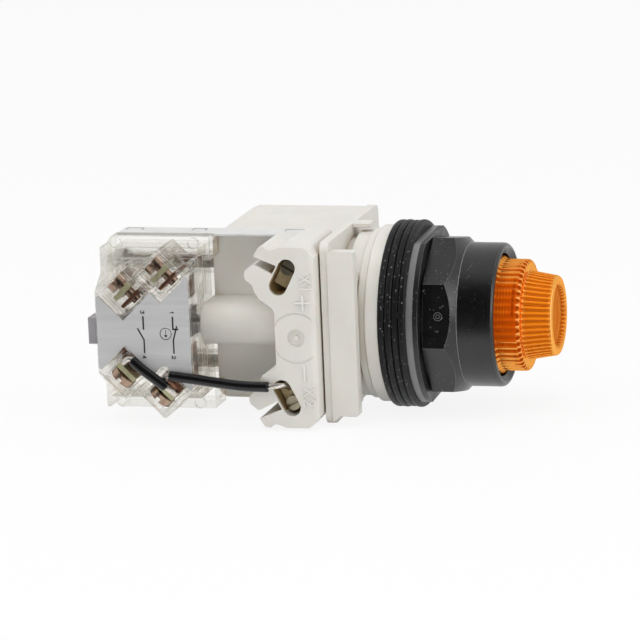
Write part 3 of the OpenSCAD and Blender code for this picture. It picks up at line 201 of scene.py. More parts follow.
class Graph:
    """A small wrapper that builds a material's node tree."""

    def __init__(self, name):
        self.material = bpy.data.materials.new(name)
        self.material.use_nodes = True
        self.tree = self.material.node_tree
        self.tree.nodes.clear()
        self.out = self.add("ShaderNodeOutputMaterial")
        self.coords = self.add("ShaderNodeTexCoord").outputs["Object"]

    def add(self, kind, **settings):
        node = self.tree.nodes.new(kind)
        for key, value in settings.items():
            setattr(node, key, value)
        return node

    def put(self, source, target):
        self.tree.links.new(source, target)

    def feed(self, value, socket):
        """Links a socket, or sets a plain value on it."""
        if isinstance(value, bpy.types.NodeSocket):
            self.put(value, socket)
        elif isinstance(value, tuple):
            socket.default_value = (*value, 1.0) if socket.type == "RGBA" else value
        else:
            socket.default_value = value

    def place(self):
        """The three coordinates of a point, in metres."""
        node = self.add("ShaderNodeSeparateXYZ")
        self.put(self.coords, node.inputs["Vector"])
        return node.outputs["X"], node.outputs["Y"], node.outputs["Z"]

    def maths(self, operation, a, b=0.0):
        node = self.add("ShaderNodeMath", operation=operation)
        self.feed(a, node.inputs[0])
        self.feed(b, node.inputs[1])
        return node.outputs[0]

    def times(self, first, *others):
        """The product of two or more values."""
        for other in others:
            first = self.maths("MULTIPLY", first, other)
        return first

    def below(self, value, limit):
        return self.maths("LESS_THAN", value, limit)

    def above(self, value, limit):
        return self.maths("GREATER_THAN", value, limit)

    def away(self, value, middle):
        """How far a value lies from a middle one, on either side."""
        return self.maths("ABSOLUTE", self.maths("SUBTRACT", value, middle))

    def radius(self, a, b):
        """Distance of the point (a, b) from zero."""
        return self.maths("SQRT", self.maths("ADD", self.times(a, a), self.times(b, b)))

    def spread(self, value, start, end, low=0.0, high=1.0, curve="LINEAR"):
        """Goes from low to high as the value goes from start to end, and stays level beyond them."""
        node = self.add("ShaderNodeMapRange", interpolation_type=curve)
        names = ("Value", "From Min", "From Max", "To Min", "To Max")
        for name, source in zip(names, (value, start, end, low, high)):
            self.feed(source, node.inputs[name])
        return node.outputs["Result"]

    def ramp(self, value, *stops):
        node = self.add("ShaderNodeValToRGB")
        elements = node.color_ramp.elements
        while len(elements) < len(stops):
            elements.new(0.5)
        for element, (place, colour) in zip(elements, stops):
            element.position = place
            element.color = (*colour, 1.0) if isinstance(colour, tuple) else (colour, colour, colour, 1.0)
        self.put(value, node.inputs["Fac"])
        return node.outputs["Color"]

    def mix(self, factor, a, b, blend="MIX"):
        node = self.add("ShaderNodeMix", data_type="RGBA", blend_type=blend)
        self.feed(factor, node.inputs["Factor"])
        self.feed(a, node.inputs["A"])
        self.feed(b, node.inputs["B"])
        return node.outputs["Result"]

    def noise(self, scale, detail=4.0, rough=0.5, coords=None):
        node = self.add("ShaderNodeTexNoise")
        node.inputs["Scale"].default_value = scale
        node.inputs["Detail"].default_value = detail
        node.inputs["Roughness"].default_value = rough
        self.put(coords or self.coords, node.inputs["Vector"])
        return node.outputs["Fac"]

    def mapped(self, **values):
        """Coordinates that are shifted, turned or scaled."""
        node = self.add("ShaderNodeMapping")
        for name, value in values.items():
            node.inputs[name].default_value = value
        self.put(self.coords, node.inputs["Vector"])
        return node.outputs["Vector"]

    def specks(self, scale, size, seed=0.0):
        """White dots on black: the middles of a Voronoi pattern's cells."""
        node = self.add("ShaderNodeTexVoronoi", feature="F1")
        node.inputs["Scale"].default_value = scale
        self.put(self.mapped(Location=(seed, seed * 0.7, seed * 1.3)), node.inputs["Vector"])
        return self.ramp(node.outputs["Distance"], (0.0, 1.0), (size, 0.0))

    def wear(self, fine, coarse, patch_scale, least):
        """Fine and coarse specks, each given by size and seed, which are dense in some patches."""
        marks = self.maths("MAXIMUM", self.specks(900, *fine), self.specks(430, *coarse))
        patches = self.ramp(self.noise(patch_scale, 2), (0.40, least), (0.62, 1.0))
        return self.times(marks, patches)

    def scratches(self, scale, direction):
        """Sparse thin lines from a noise that is stretched along one direction."""
        stretched = self.mapped(Rotation=direction, Scale=(1.0, 14.0, 14.0))
        value = self.noise(scale, 2.0, 0.4, stretched)
        return self.ramp(value, (0.70, 0.0), (0.735, 1.0), (0.77, 0.0))

    def edge_normal(self, radius):
        """Normals that run softly round the edges of a form, with a radius in millimetres."""
        node = self.add("ShaderNodeBevel", samples=6)
        node.inputs["Radius"].default_value = radius * MM
        return node.outputs["Normal"]

    def edges(self, radius, low, high):
        """White along the edges of a form, where its rounded normal leaves its own one."""
        plain = self.add("ShaderNodeNewGeometry").outputs["Normal"]
        both = self.add("ShaderNodeVectorMath", operation="DOT_PRODUCT")
        self.put(self.edge_normal(radius), both.inputs[0])
        self.put(plain, both.inputs[1])
        return self.ramp(self.maths("SUBTRACT", 1.0, both.outputs["Value"]), (low, 0.0), (high, 1.0))

    def crease(self, reach):
        """How open a point lies: dark where walls stand around it within a reach in millimetres."""
        node = self.add("ShaderNodeAmbientOcclusion", samples=8)
        node.inputs["Distance"].default_value = reach * MM
        return node.outputs["AO"]

    def bump(self, height, strength, depth):
        node = self.add("ShaderNodeBump")
        node.inputs["Strength"].default_value = strength
        node.inputs["Distance"].default_value = depth * MM
        self.put(height, node.inputs["Height"])
        return node

    def grain(self, scale, detail, strength, depth, rounding):
        """Normals of a fine grain on a form with softened edges. Depth and rounding are in millimetres."""
        node = self.bump(self.noise(scale, detail), strength, depth)
        self.put(self.edge_normal(rounding), node.inputs["Normal"])
        return node.outputs["Normal"]

    def shader(self, colour, rough, normal=None, **values):
        node = self.add("ShaderNodeBsdfPrincipled")
        self.feed(colour, node.inputs["Base Color"])
        self.feed(rough, node.inputs["Roughness"])
        for name, value in values.items():
            self.feed(value, node.inputs[name.replace("_", " ")])
        if normal is not None:
            self.put(normal, node.inputs["Normal"])
        return node.outputs["BSDF"]

    def blend_shaders(self, factor, a, b):
        node = self.add("ShaderNodeMixShader")
        self.feed(factor, node.inputs["Fac"])
        self.put(a, node.inputs[1])
        self.put(b, node.inputs[2])
        return node.outputs["Shader"]

    def done(self, shader):
        self.put(shader, self.out.inputs["Surface"])
        return self.material


def ivory_plastic():
    """Pale ivory with some dirt. Shade is painted on it: browner in its seams, recesses and supply wells,
    and faint on the dimple's face.
    """
    g = Graph("ivory_plastic")
    x, y, z = g.place()
    cloud = g.ramp(g.noise(90, 3), (0.3, IVORY_DULL), (0.7, IVORY_BRIGHT))
    # Painted shade: brown where walls stand close round a point, as in seams and recesses.
    shade = g.ramp(g.crease(2.8), (0.05, CREASE_SHADE_BROWN), (0.36, IVORY_SHADE), (0.60, WHITE))
    # The dimple's face takes only a little of the painted shade.
    from_dimple = g.radius(g.maths("SUBTRACT", x, DIMPLE_X * MM), z)
    in_dimple = g.times(g.below(from_dimple, DIMPLE_R * MM), g.below(y, DIMPLE_RIM_Y * MM))
    shading = g.maths("SUBTRACT", 0.85, g.times(in_dimple, 0.78))
    colour = g.mix(shading, cloud, shade, "MULTIPLY")
    # Painted shade: brown inside the two supply wells, full deep in them and fading out at their mouths.
    in_width = g.below(g.away(x, WELL_X * MM), WELL_HALF_X * MM)
    in_height = g.below(g.away(g.maths("ABSOLUTE", z), WELL_Z * MM), WELL_HALF_Z * MM)
    in_depth = g.times(g.spread(y, WELL_MOUTH_Y * MM, WELL_FULL_Y * MM), g.below(y, WELL_BACK_Y * MM))
    colour = g.mix(g.times(in_width, in_height, in_depth), colour, WELL_SHADE_BROWN)
    dirt = g.maths("MAXIMUM", g.specks(700, 0.05), g.times(g.specks(190, 0.035, 4.0), 0.8))
    colour = g.mix(g.times(dirt, 0.35), colour, DIRT_BROWN)
    rough = g.ramp(g.noise(240, 3), (0.3, 0.36), (0.7, 0.46))
    normal = g.grain(2600, 2, strength=0.10, depth=0.04, rounding=0.22)
    return g.done(
        g.shader(
            colour, rough, normal,
            Subsurface_Weight=0.15, Subsurface_Scale=1.5 * MM, Specular_IOR_Level=0.4,
        )
    )


def black_plastic(name, base, rough_low, rough_high):
    """Satin black with dust, pale specks and worn edges. It is cleaner in front of the nut's fillet."""
    g = Graph(name)
    dust = g.ramp(g.noise(160, 6, 0.65), (0.45, 0.0), (0.8, 0.06))
    colour = g.mix(dust, base, DUST_GREY)
    before_fillet = g.below(g.place()[0], NUT_FILLET_X * MM)
    share = g.maths("ADD", g.times(before_fillet, 0.6), 0.2)
    marks = g.wear(fine=(0.18, 3.0), coarse=(0.08, 1.0), patch_scale=70, least=0.2)
    colour = g.mix(g.times(marks, share), colour, WORN_GREY)
    patches = g.ramp(g.noise(130, 3), (0.35, 0.1), (0.6, 0.7))
    colour = g.mix(g.times(g.edges(0.13, 0.008, 0.05), patches), colour, WORN_GREY)
    rough = g.ramp(g.noise(300, 4), (0.3, rough_low), (0.7, rough_high))
    normal = g.grain(1900, 3, strength=0.14, depth=0.03, rounding=0.2)
    return g.done(g.shader(colour, rough, normal, Specular_IOR_Level=0.65))


def gasket_rubber():
    """Black rubber with faint bands along its rim, pale specks and a few hairs."""
    g = Graph("gasket_rubber")
    bands = g.noise(60, 4, 0.6, g.mapped(Scale=(22.0, 1.0, 1.0)))
    colour = g.ramp(bands, (0.3, RUBBER_DARK), (0.7, RUBBER_PALE))
    marks = g.wear(fine=(0.21, 5.0), coarse=(0.10, 7.0), patch_scale=80, least=0.25)
    hairs = g.times(g.scratches(260, (0.2, 1.3, 0.4)), 0.35)
    colour = g.mix(g.maths("MAXIMUM", marks, hairs), colour, WORN_GREY)
    normal = g.grain(1500, 4, strength=0.25, depth=0.05, rounding=0.15)
    return g.done(g.shader(colour, 0.5, normal, Specular_IOR_Level=0.3))


def grey_washer():
    """Dull grey metal."""
    g = Graph("grey_washer")
    colour = g.ramp(g.noise(220, 4), (0.3, WASHER_DARK), (0.7, WASHER_PALE))
    normal = g.grain(1200, 3, strength=0.12, depth=0.03, rounding=0.12)
    return g.done(g.shader(colour, 0.42, normal, Metallic=0.35))


def lens_tone(g):
    """The lens's colour, with painted shade and highlights, and a mask of the floor of its recess."""
    x, y, z = g.place()
    radius = g.radius(y, z)
    tone = g.ramp(
        g.spread(x, LENS_MOUTH * MM, LENS_FRONT * MM),
        (0.0, AMBER_DEEP), (0.10, AMBER_BASE), (0.46, AMBER_BASE), (0.50, AMBER_RIM),
        (0.56, AMBER_CONE), (0.92, AMBER_CONE), (0.97, AMBER_RIM),
    )
    wave = g.maths("COSINE", g.times(g.maths("ARCTAN2", z, y), LENS_FLUTES))
    valley = g.ramp(wave, (0.0, 1.0), (0.75, 0.0))
    crest = g.ramp(wave, (0.6, 0.0), (0.95, 1.0))
    # The thread shows through the base as broken dashes, and its end as a dark band.
    on_base = g.above(radius, THREAD_R * MM)
    thread = g.ramp(g.maths("SINE", g.times(x, math.tau / (THREAD_PITCH * MM))), (0.35, 0.0), (0.8, 1.0))
    broken = g.ramp(g.noise(420, 2), (0.45, 0.0), (0.6, 0.7))
    tone = g.mix(g.times(thread, broken, g.below(x, THREAD_END_X * MM), on_base), tone, AMBER_DASH)
    on_band = g.below(g.away(x, BAND_X * MM), BAND_HALF * MM)
    patchy = g.ramp(g.noise(200, 2), (0.42, 0.1), (0.6, 0.9))
    tone = g.mix(g.times(on_band, patchy, on_base), tone, AMBER_DEEP)
    # Flutes are deep between their edges: painted shade darkens their valleys and painted highlights
    # lighten their edges, more so on the shoulder's teeth.
    tone = g.mix(g.times(valley, 0.5), tone, AMBER_DEEP)
    tone = g.mix(g.edges(0.08, 0.03, 0.12), tone, AMBER_HIGHLIGHT)
    on_teeth = g.below(g.away(x, TEETH_X * MM), TEETH_HALF * MM)
    tone = g.mix(g.times(on_teeth, valley, 0.8), tone, AMBER_DEEP)
    tone = g.mix(g.times(on_teeth, crest, 0.6), tone, AMBER_HIGHLIGHT)
    # A painted highlight rings the face, around a recess whose floor has painted shade.
    on_rim = g.times(g.below(g.away(radius, RIM_R * MM), RIM_HALF * MM), g.above(x, RIM_X * MM))
    tone = g.mix(g.times(on_rim, 0.8), tone, AMBER_HIGHLIGHT)
    in_recess = g.times(g.below(radius, RECESS_R * MM), g.above(x, RECESS_X * MM))
    return g.mix(in_recess, tone, AMBER_RECESS_SHADE), in_recess


def amber_lens():
    """Amber plastic. Its shine is amber too, because a white one would turn its slanting sides pink."""
    g = Graph("amber_lens")
    tone, in_recess = lens_tone(g)
    normal = g.grain(900, 2, strength=0.05, depth=0.03, rounding=0.05)
    body = g.shader(
        tone, 0.3, normal, IOR=LENS_IOR, Specular_IOR_Level=0.0,
        Subsurface_Weight=0.12, Subsurface_Scale=1.0 * MM, Subsurface_Radius=(1.0, 0.3, 0.06),
    )
    shine = g.add("ShaderNodeBsdfAnisotropic")
    shine.inputs["Color"].default_value = (*AMBER_SHINE, 1.0)
    shine.inputs["Roughness"].default_value = 0.2
    g.put(normal, shine.inputs["Normal"])
    facing = g.add("ShaderNodeFresnel")
    facing.inputs["IOR"].default_value = LENS_IOR
    share = g.maths("SUBTRACT", 0.75, g.times(in_recess, 0.45))
    return g.done(g.blend_shaders(g.times(facing.outputs["Fac"], share), body, shine.outputs["BSDF"]))


def clear_plastic():
    """Thin clear walls: little bending of the view, beige where it passes along a wall, and painted
    highlights along the edges.
    """
    g = Graph("clear_plastic")
    facing = g.add("ShaderNodeLayerWeight")
    facing.inputs["Blend"].default_value = 0.35
    tint = g.ramp(facing.outputs["Facing"], (0.0, CLEAR_FACING), (0.5, CLEAR_SLANTED), (0.9, CLEAR_GRAZING))
    normal = g.grain(260, 2, strength=0.05, depth=0.05, rounding=0.08)
    tone = g.ramp(g.noise(150, 3), (0.3, CLEAR_DULL), (0.7, CLEAR_PALE_AND_HIGHLIGHT))
    glassy = g.shader(tone, 0.03, normal, Transmission_Weight=1.0, IOR=1.45, Specular_IOR_Level=0.6)
    through = g.add("ShaderNodeBsdfTransparent")
    g.put(tint, through.inputs["Color"])
    inside = g.blend_shaders(0.35, through.outputs["BSDF"], glassy)
    # Painted highlight: a pale shader along the edges.
    edge_highlight = g.shader(CLEAR_PALE_AND_HIGHLIGHT, 0.2, normal)
    on_edge_highlight = g.times(g.edges(0.15, 0.015, 0.09), 0.85)
    return g.done(g.blend_shaders(on_edge_highlight, inside, edge_highlight))


def metal(name, colour, rough, stain=STAIN_BROWN, metallic=1.0):
    """Metal with patches of tarnish, and painted shade in narrow gaps."""
    g = Graph(name)
    tarnish = g.ramp(g.noise(420, 5, 0.6), (0.42, 0.0), (0.7, 0.55))
    # Painted shade: dark brown where walls stand close round a point.
    gaps = g.ramp(g.crease(1.2), (0.08, GAP_SHADE_BROWN), (0.5, WHITE))
    tone = g.mix(0.85, g.mix(tarnish, colour, stain), gaps, "MULTIPLY")
    normal = g.grain(1400, 3, strength=0.2, depth=0.03, rounding=0.12)
    return g.done(g.shader(tone, rough, normal, Metallic=metallic))


def plain_plastic(name, colour, rough, grain=0.1):
    """One colour with slightly darker clouds and a fine grain."""
    g = Graph(name)
    darker = tuple(0.6 * channel for channel in colour)
    tone = g.mix(g.ramp(g.noise(260, 4), (0.35, 0.0), (0.7, 0.25)), colour, darker)
    normal = g.grain(1600, 3, strength=grain, depth=0.03, rounding=0.2)
    return g.done(g.shader(tone, rough, normal))


def silver_label():
    """Silvery white plate, brushed along its length."""
    g = Graph("silver_label")
    brushed = g.noise(900, 3, 0.5, g.mapped(Scale=(0.06, 1.0, 1.0)))
    colour = g.ramp(brushed, (0.3, SILVER_DARK), (0.7, SILVER_PALE))
    normal = g.bump(brushed, strength=0.08, depth=0.02).outputs["Normal"]
    return g.done(g.shader(colour, 0.38, normal, Metallic=0.15))


def lamp_glass():
    """Frosted glass of the lamp inside."""
    g = Graph("lamp_glass")
    tone = g.ramp(g.noise(200, 3), (0.3, GLASS_DULL), (0.7, GLASS_BRIGHT))
    return g.done(g.shader(tone, 0.3, Transmission_Weight=0.6, IOR=1.45))


# Materials that more than one node or that the added pieces use.
RUBBER = gasket_rubber()
LENS = amber_lens()
OLIVE_STRAP = metal("olive_strap", STRAP_OLIVE, 0.3, stain=(0.24, 0.17, 0.08), metallic=0.3)
SPRING = metal("spring_steel", (0.5, 0.5, 0.5), 0.3)
TINNED = metal("tinned_copper", (0.80, 0.76, 0.72), 0.22, stain=(0.5, 0.42, 0.34))
INSULATION = plain_plastic("wire_insulation", (0.0035, 0.0035, 0.004), 0.27, grain=0.06)
INK = plain_plastic("print_ink", PRINT_BLACK, 0.5, grain=0.02)
MARK_GREY = plain_plastic("mark_grey", (0.20, 0.20, 0.205), 0.4, grain=0.02)
# A lighter grey that paints the highlight in the nut's fillet.
FILLET_HIGHLIGHT_GREY = plain_plastic("fillet_highlight_grey", (0.24, 0.24, 0.243), 0.3, grain=0.02)
RING_GREY = plain_plastic("ring_grey", (0.03, 0.03, 0.031), 0.3, grain=0.02)
# A paler ivory that paints the highlight on the raised signs' tops.
SIGN_HIGHLIGHT_IVORY = plain_plastic("sign_highlight_ivory", (0.83, 0.815, 0.775), 0.35, grain=0.03)

BY_SLOT = {
    "amber_lens": LENS,
    "black_plastic": black_plastic("black_nut", BLACK_NUT, rough_low=0.26, rough_high=0.34),
    "black_trim": black_plastic("black_trim", BLACK_TRIM, rough_low=0.35, rough_high=0.5),
    "grey_metal": grey_washer(),
    "gasket_rubber": RUBBER,
    "ivory_plastic": ivory_plastic(),
    "brown_plastic": plain_plastic("brown_plastic", (0.09, 0.05, 0.03), 0.4),
    "clear_plastic": clear_plastic(),
    "grey_plastic": plain_plastic("grey_plastic", (0.32, 0.305, 0.32), 0.4),
    "white_label": plain_plastic("white_strip", (0.70, 0.70, 0.69), 0.4, grain=0.05),
    "lamp_glass": lamp_glass(),
    "lamp_brass": metal("lamp_brass", (0.70, 0.55, 0.25), 0.3),
    "contact_copper": metal("contact_copper", COPPER, 0.30, stain=(0.20, 0.10, 0.06)),
    "plated_steel": metal("plated_steel", STEEL, 0.28),
    "yellow_plated": metal("yellow_plated", YELLOW_PLATE, 0.30, metallic=0.6),
    "spring_steel": SPRING,
    "wire_insulation": INSULATION,
    "tinned_copper": TINNED,
}
BY_NODE = {
    "label_plate": silver_label(),
    "contact_screws": metal("pink_screws", SCREW_PINK, 0.26, stain=(0.34, 0.2, 0.13)),
    "supply_strap_upper": OLIVE_STRAP,
    "supply_strap_lower": OLIVE_STRAP,
    "supply_clamps": OLIVE_STRAP,
}


def dress_nodes():
    """Every CAD node gets its own material, or else that of its slot in the record."""
    slots = {part["node"]: part["material_slot"] for part in frame["record"]["subparts"]}
    for name, obj in nodes.items():
        material = BY_NODE.get(name, BY_SLOT[slots[name]])
        for slot in obj.material_slots:
            slot.material = material


dress_nodes()


# Pieces that the solids leave out or stand in for. Routes and places are in millimetres.
WIRE_R = 1.2
WIRE_END_SCALE = 0.93
WIRE_END_SHARE = 0.012
STRAND_R = 0.24
STRAND_RING = 0.43
STRANDS_AROUND = 6
STRAND_TURNS = 1.4
SHORT_ROUTE = ((-57, -27.9, -6.1), (-54.4, -28.5, -8.1), (-51.4, -28.5, -10.3), (-49, -28.4, -12.1))
SHORT_TAIL_1 = (
    (-57.1, -27.9, -6), (-57.7, -27.8, -5.7), (-58.5, -27.5, -6), (-59.3, -26.8, -6.7),
    (-59.9, -25.6, -7.2), (-59.9, -23, -7.2),
)
SHORT_TAIL_2 = (
    (-48.9, -28.4, -12.2), (-48.2, -28.3, -12.8), (-47.6, -27.6, -13.7), (-47.7, -26.4, -14.4),
    (-47.8, -25.2, -14.5), (-47.8, -23, -14.5),
)
LONG_ROUTE = (
    (-48, -28.3, -9.5), (-42, -28.2, -10.2), (-36, -28.8, -10.8), (-30, -29.6, -11.2), (-24, -30, -11.2),
)
LONG_TAIL_1 = (
    (-48.1, -28.3, -9.5), (-48.9, -28.1, -9.6), (-49.3, -27.2, -10), (-49.9, -26.5, -10.6),
    (-50.6, -25.7, -11.3), (-50.8, -24.9, -11.5), (-50.8, -23, -11.5),
)
LONG_TAIL_2 = ((-23.9, -30, -11.2), (-23.1, -29.9, -11.2), (-21, -28.4, -11.2), (-20.2, -25.6, -12.4))

# Springs: where the middle of the wire begins and ends along X, the coil's radius and its turns.
RETURN_COIL = {"x1": -17.65, "x2": -2.55, "radius": 9.6, "turns": 5}
RETURN_COIL_WIRE_R = 0.55
CARRIER_COIL = {"x1": -64.6, "x2": -50.7, "radius": 1.4, "turns": 9, "centre_y": -7.3}
CARRIER_COIL_WIRE_R = 0.2
COIL_END_CLOSING = 0.55

# Gaskets: each rim is cut back by its own random amount, rounded off beyond its shoulder, and wobbles.
GASKET_BORE_R = 15.3
GASKET_LEAST_CUT = 0.05
GASKET_MOST_CUT = 0.30
GASKET_SHOULDER = 0.75
GASKET_ROUND = 0.55
GASKET_ROUND_STEPS = 6
GASKET_ROUND_POWER = 0.8
GASKET_SIDE_CUT = 0.02
GASKET_WOBBLE = 0.0012

# Flat drawings: how far a bar stands out, how much more each next bar of a line does, and how much more
# every second line of the raised signs does. So no two tops coincide.
STROKE_LIFT = 0.03
STROKE_STEP = 0.003
SIGN_STEP = 0.02

# The print on the label plate, as (x, z): two contact signs, a push sign between them, and the numbers,
# whose strokes are (across, up) in units of DIGIT_SIZE.
LABEL_FACE = -26.3
NO_X = -54.4
NC_X = -47.3
NO_LEAD = ((NO_X, 3.9), (NO_X, 1.1))
NO_BLADE = ((NO_X - 1.4, 1.1), (NO_X, -1.5), (NO_X, -4.5))
NC_LEAD = ((NC_X, 3.9), (NC_X, 1.1), (NC_X + 1.1, 1.1))
NC_BLADE = ((NC_X + 0.9, 1.7), (NC_X, -1.4), (NC_X, -4.5))
LEAD_WIDTH = 0.38
BLADE_WIDTH = 0.34
PUSH_X = -49.1
PUSH_R = 1.35
PUSH_RING_WIDTH = 0.13
PUSH_SHAFT = ((PUSH_X, 0.9), (PUSH_X, -0.4))
PUSH_SHAFT_WIDTH = 0.12
PUSH_HEAD = ((PUSH_X - 0.3, -0.4), (PUSH_X, -0.8), (PUSH_X + 0.3, -0.4), (PUSH_X - 0.3, -0.4))
PUSH_HEAD_WIDTH = 0.16
DIGIT_WIDTH = 0.19
DIGIT_SIZE = 0.62
DIGIT_HEIGHT = 0.8
DIGIT_SHIFT_X = -0.5
DIGIT_SHIFT_Z = 0.35
DIGIT_PLACES = {"1": (NC_X, 5.0), "2": (NC_X, -5.6), "3": (NO_X, 5.0), "4": (NO_X, -5.6)}
DIGITS = {
    "1": ((0.2, 1.2), (0.55, 1.6), (0.55, 0.0)),
    "2": ((0.05, 1.3), (0.3, 1.6), (0.75, 1.6), (1.0, 1.25), (0.9, 0.9), (0.0, 0.0), (1.0, 0.0)),
    "3": ((0.0, 1.6), (1.0, 1.6), (0.5, 0.95), (0.9, 0.8), (1.0, 0.4), (0.7, 0.0), (0.2, 0.0), (0.0, 0.25)),
    "4": ((0.75, 0.0), (0.75, 1.6), (0.0, 0.5), (1.05, 0.5)),
}

# Cutting marks on the white strip: where each begins and ends along X, and its depth along Y.
STRIP_TOP = 20.2
STRIP_MARKS = ((-64.1, -60.3), (-47.9, -44.8), (-25.4, -19.8))
STRIP_MARK_NEAR = -5.2
STRIP_MARK_FAR = -3.4
STRIP_MARK_WIDTH = 0.18

# Raised terminal signs on the front of the light module, as (x, z).
LETTER_REAR = -16.0
LETTER_FRONT = -13.2
LETTER_HALF = 0.9
LETTER_WIDTH = 0.42
LETTER_X_PLACES = (13.9, -12.6)
LETTER_1 = ((LETTER_REAR, 11.6), (LETTER_FRONT, 11.6), (-13.8, 12.2))
LETTER_2 = (
    (LETTER_REAR, -16.0), (LETTER_REAR, -14.4), (-14.2, -15.8),
    (-13.5, -15.6), (-13.4, -14.6), (-14.0, -14.4),
)
POLE_SIGNS = (((-17.0, 8.3), (-13.8, 8.3)), ((-15.4, 6.7), (-15.4, 9.9)), ((-15.6, -6.7), (-15.6, -9.9)))
POLE_WIDTH = 0.58

# Marks on the ring nut: (x, up) on its front facet, and (x, way round) on its collar.
FACET_MARK_X = 13.46
FACET_RINGS = (0.95, 0.42)
FACET_RING_WIDTH = 0.11
FACET_NICK = ((12.9, -3.3), (13.3, -3.6), (13.6, -3.3), (13.5, -3.1))
FACET_NICK_WIDTH = 0.09
COLLAR_SCRATCHES = (
    ((19.2, 14.4), (19.6, 15.0), (20.0, 15.9), (20.1, 16.8)),
    ((19.6, 12.6), (20.0, 12.9)),
    ((21.3, 16.9), (21.7, 16.8)),
)
SCRATCH_WIDTH = 0.06


def frame_low(node):
    """Lowest corner of a node's box, in millimetres."""
    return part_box(node)[0] / MM


def mesh_piece(name, points, faces, material, body="base", smooth=True):
    """A mesh from points in millimetres that rides on one body."""
    mesh = bpy.data.meshes.new(name)
    mesh.from_pydata([Vector(point) * MM for point in points], [], faces)
    mesh.polygons.foreach_set("use_smooth", [smooth] * len(mesh.polygons))
    mesh.materials.append(material)
    obj = bpy.data.objects.new(name, mesh)
    bpy.context.collection.objects.link(obj)
    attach(obj, body)
    return obj


def smooth_route(points, steps):
    """A smooth curve through given points, as in the solids."""
    p = [Vector(point) for point in points]
    out = []
    for i in range(len(p) - 1):
        a, b, c, d = p[max(i - 1, 0)], p[i], p[i + 1], p[min(i + 2, len(p) - 1)]
        for k in range(steps):
            t = k / steps
            once = (c - a) * t
            square = (2 * a - 5 * b + 4 * c - d) * t**2
            cube = (3 * b - a - 3 * c + d) * t**3
            out.append(0.5 * (2 * b + once + square + cube))
    return out + [p[-1]]


def travelling_frames(route):
    """(place, side, across) at each point of a route, with as little twist as possible."""
    out = []
    side = None
    for i, place in enumerate(route):
        ahead = (route[min(i + 1, len(route) - 1)] - route[max(i - 1, 0)]).normalized()
        side = ahead.orthogonal() if side is None else side
        side = (side - ahead * side.dot(ahead)).normalized()
        out.append((place, side, ahead.cross(side)))
    return out


def tube(route, radius, sides):
    """Points and faces of a closed round tube. Its radius is a number, or a function of the share run."""
    points, faces = [], []
    steps = travelling_frames(route)
    for i, (place, side, across) in enumerate(steps):
        r = radius(i / (len(steps) - 1)) if callable(radius) else radius
        for k in range(sides):
            turn = math.tau * k / sides
            points.append(place + r * (math.cos(turn) * side + math.sin(turn) * across))
    for i in range(len(steps) - 1):
        for k in range(sides):
            a, b = i * sides + k, i * sides + (k + 1) % sides
            faces.append((a, b, b + sides, a + sides))
    faces.append(tuple(range(sides - 1, -1, -1)))
    faces.append(tuple(range((len(steps) - 1) * sides, len(steps) * sides)))
    return points, faces


def joined(parts):
    """One list of points and faces from several."""
    points, faces = [], []
    for more_points, more_faces in parts:
        start = len(points)
        points.extend(more_points)
        faces.extend(tuple(index + start for index in face) for face in more_faces)
    return points, faces


def circle(centre, radius, steps):
    """Places round a circle whose middle is (centre, 0). The last one closes it."""
    turns = [math.tau * k / steps for k in range(steps + 1)]
    return [(centre + radius * math.cos(turn), radius * math.sin(turn)) for turn in turns]


def stranded(route):
    """Bare strands that twist around one middle strand."""
    steps = travelling_frames(route)
    parts = [tube(route, STRAND_R, sides=8)]
    for j in range(STRANDS_AROUND):
        path = []
        for i, (place, side, across) in enumerate(steps):
            turn = math.tau * (j / STRANDS_AROUND + STRAND_TURNS * i / (len(steps) - 1))
            path.append(place + STRAND_RING * (math.cos(turn) * side + math.sin(turn) * across))
        parts.append(tube(path, STRAND_R, sides=8))
    return joined(parts)


def skin_radius(share):
    """Radius of the insulation, which is drawn in a little at both of its cut ends."""
    end = min(share, 1 - share)
    return WIRE_R * (WIRE_END_SCALE + (1 - WIRE_END_SCALE) * min(end / WIRE_END_SHARE, 1.0))


def make_wires():
    """Both jumpers: their insulation and the bare strands at its ends."""
    for name, route in (("jumper_short", SHORT_ROUTE), ("jumper_long", LONG_ROUTE)):
        form = tube(smooth_route(route, steps=24), skin_radius, sides=28)
        skin = mesh_piece(name + "_skin", *form, INSULATION)
        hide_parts(name)
    for name, tails in (
        ("jumper_short_strands", (SHORT_TAIL_1, SHORT_TAIL_2)),
        ("jumper_long_strands", (LONG_TAIL_1, LONG_TAIL_2)),
    ):
        parts = [stranded(smooth_route(tail, steps=10)) for tail in tails]
        bundle = mesh_piece(name + "_fine", *joined(parts), TINNED)
        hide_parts(name)


def coil(x1, x2, radius, turns, centre_y=0.0, steps=28):
    """Route of a compression spring along X, whose end turns lie closed."""
    route = []
    count = int(turns * steps)
    for i in range(count + 1):
        share = i / count
        eased = share - math.sin(math.tau * share) / math.tau * COIL_END_CLOSING
        turn = math.tau * turns * share
        y = centre_y + radius * math.cos(turn)
        z = radius * math.sin(turn)
        route.append(Vector((x1 + (x2 - x1) * eased, y, z)))
    return route


def make_springs():
    """Both return springs as coils, each with a mesh of its own."""
    form = tube(coil(**RETURN_COIL), RETURN_COIL_WIRE_R, sides=12)
    big = mesh_piece("return_spring_coil", *form, SPRING)
    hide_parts("return_spring")
    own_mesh(big)
    form = tube(coil(**CARRIER_COIL), CARRIER_COIL_WIRE_R, sides=10)
    small = mesh_piece("carrier_spring_coil", *form, SPRING)
    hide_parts("carrier_spring")
    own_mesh(small)


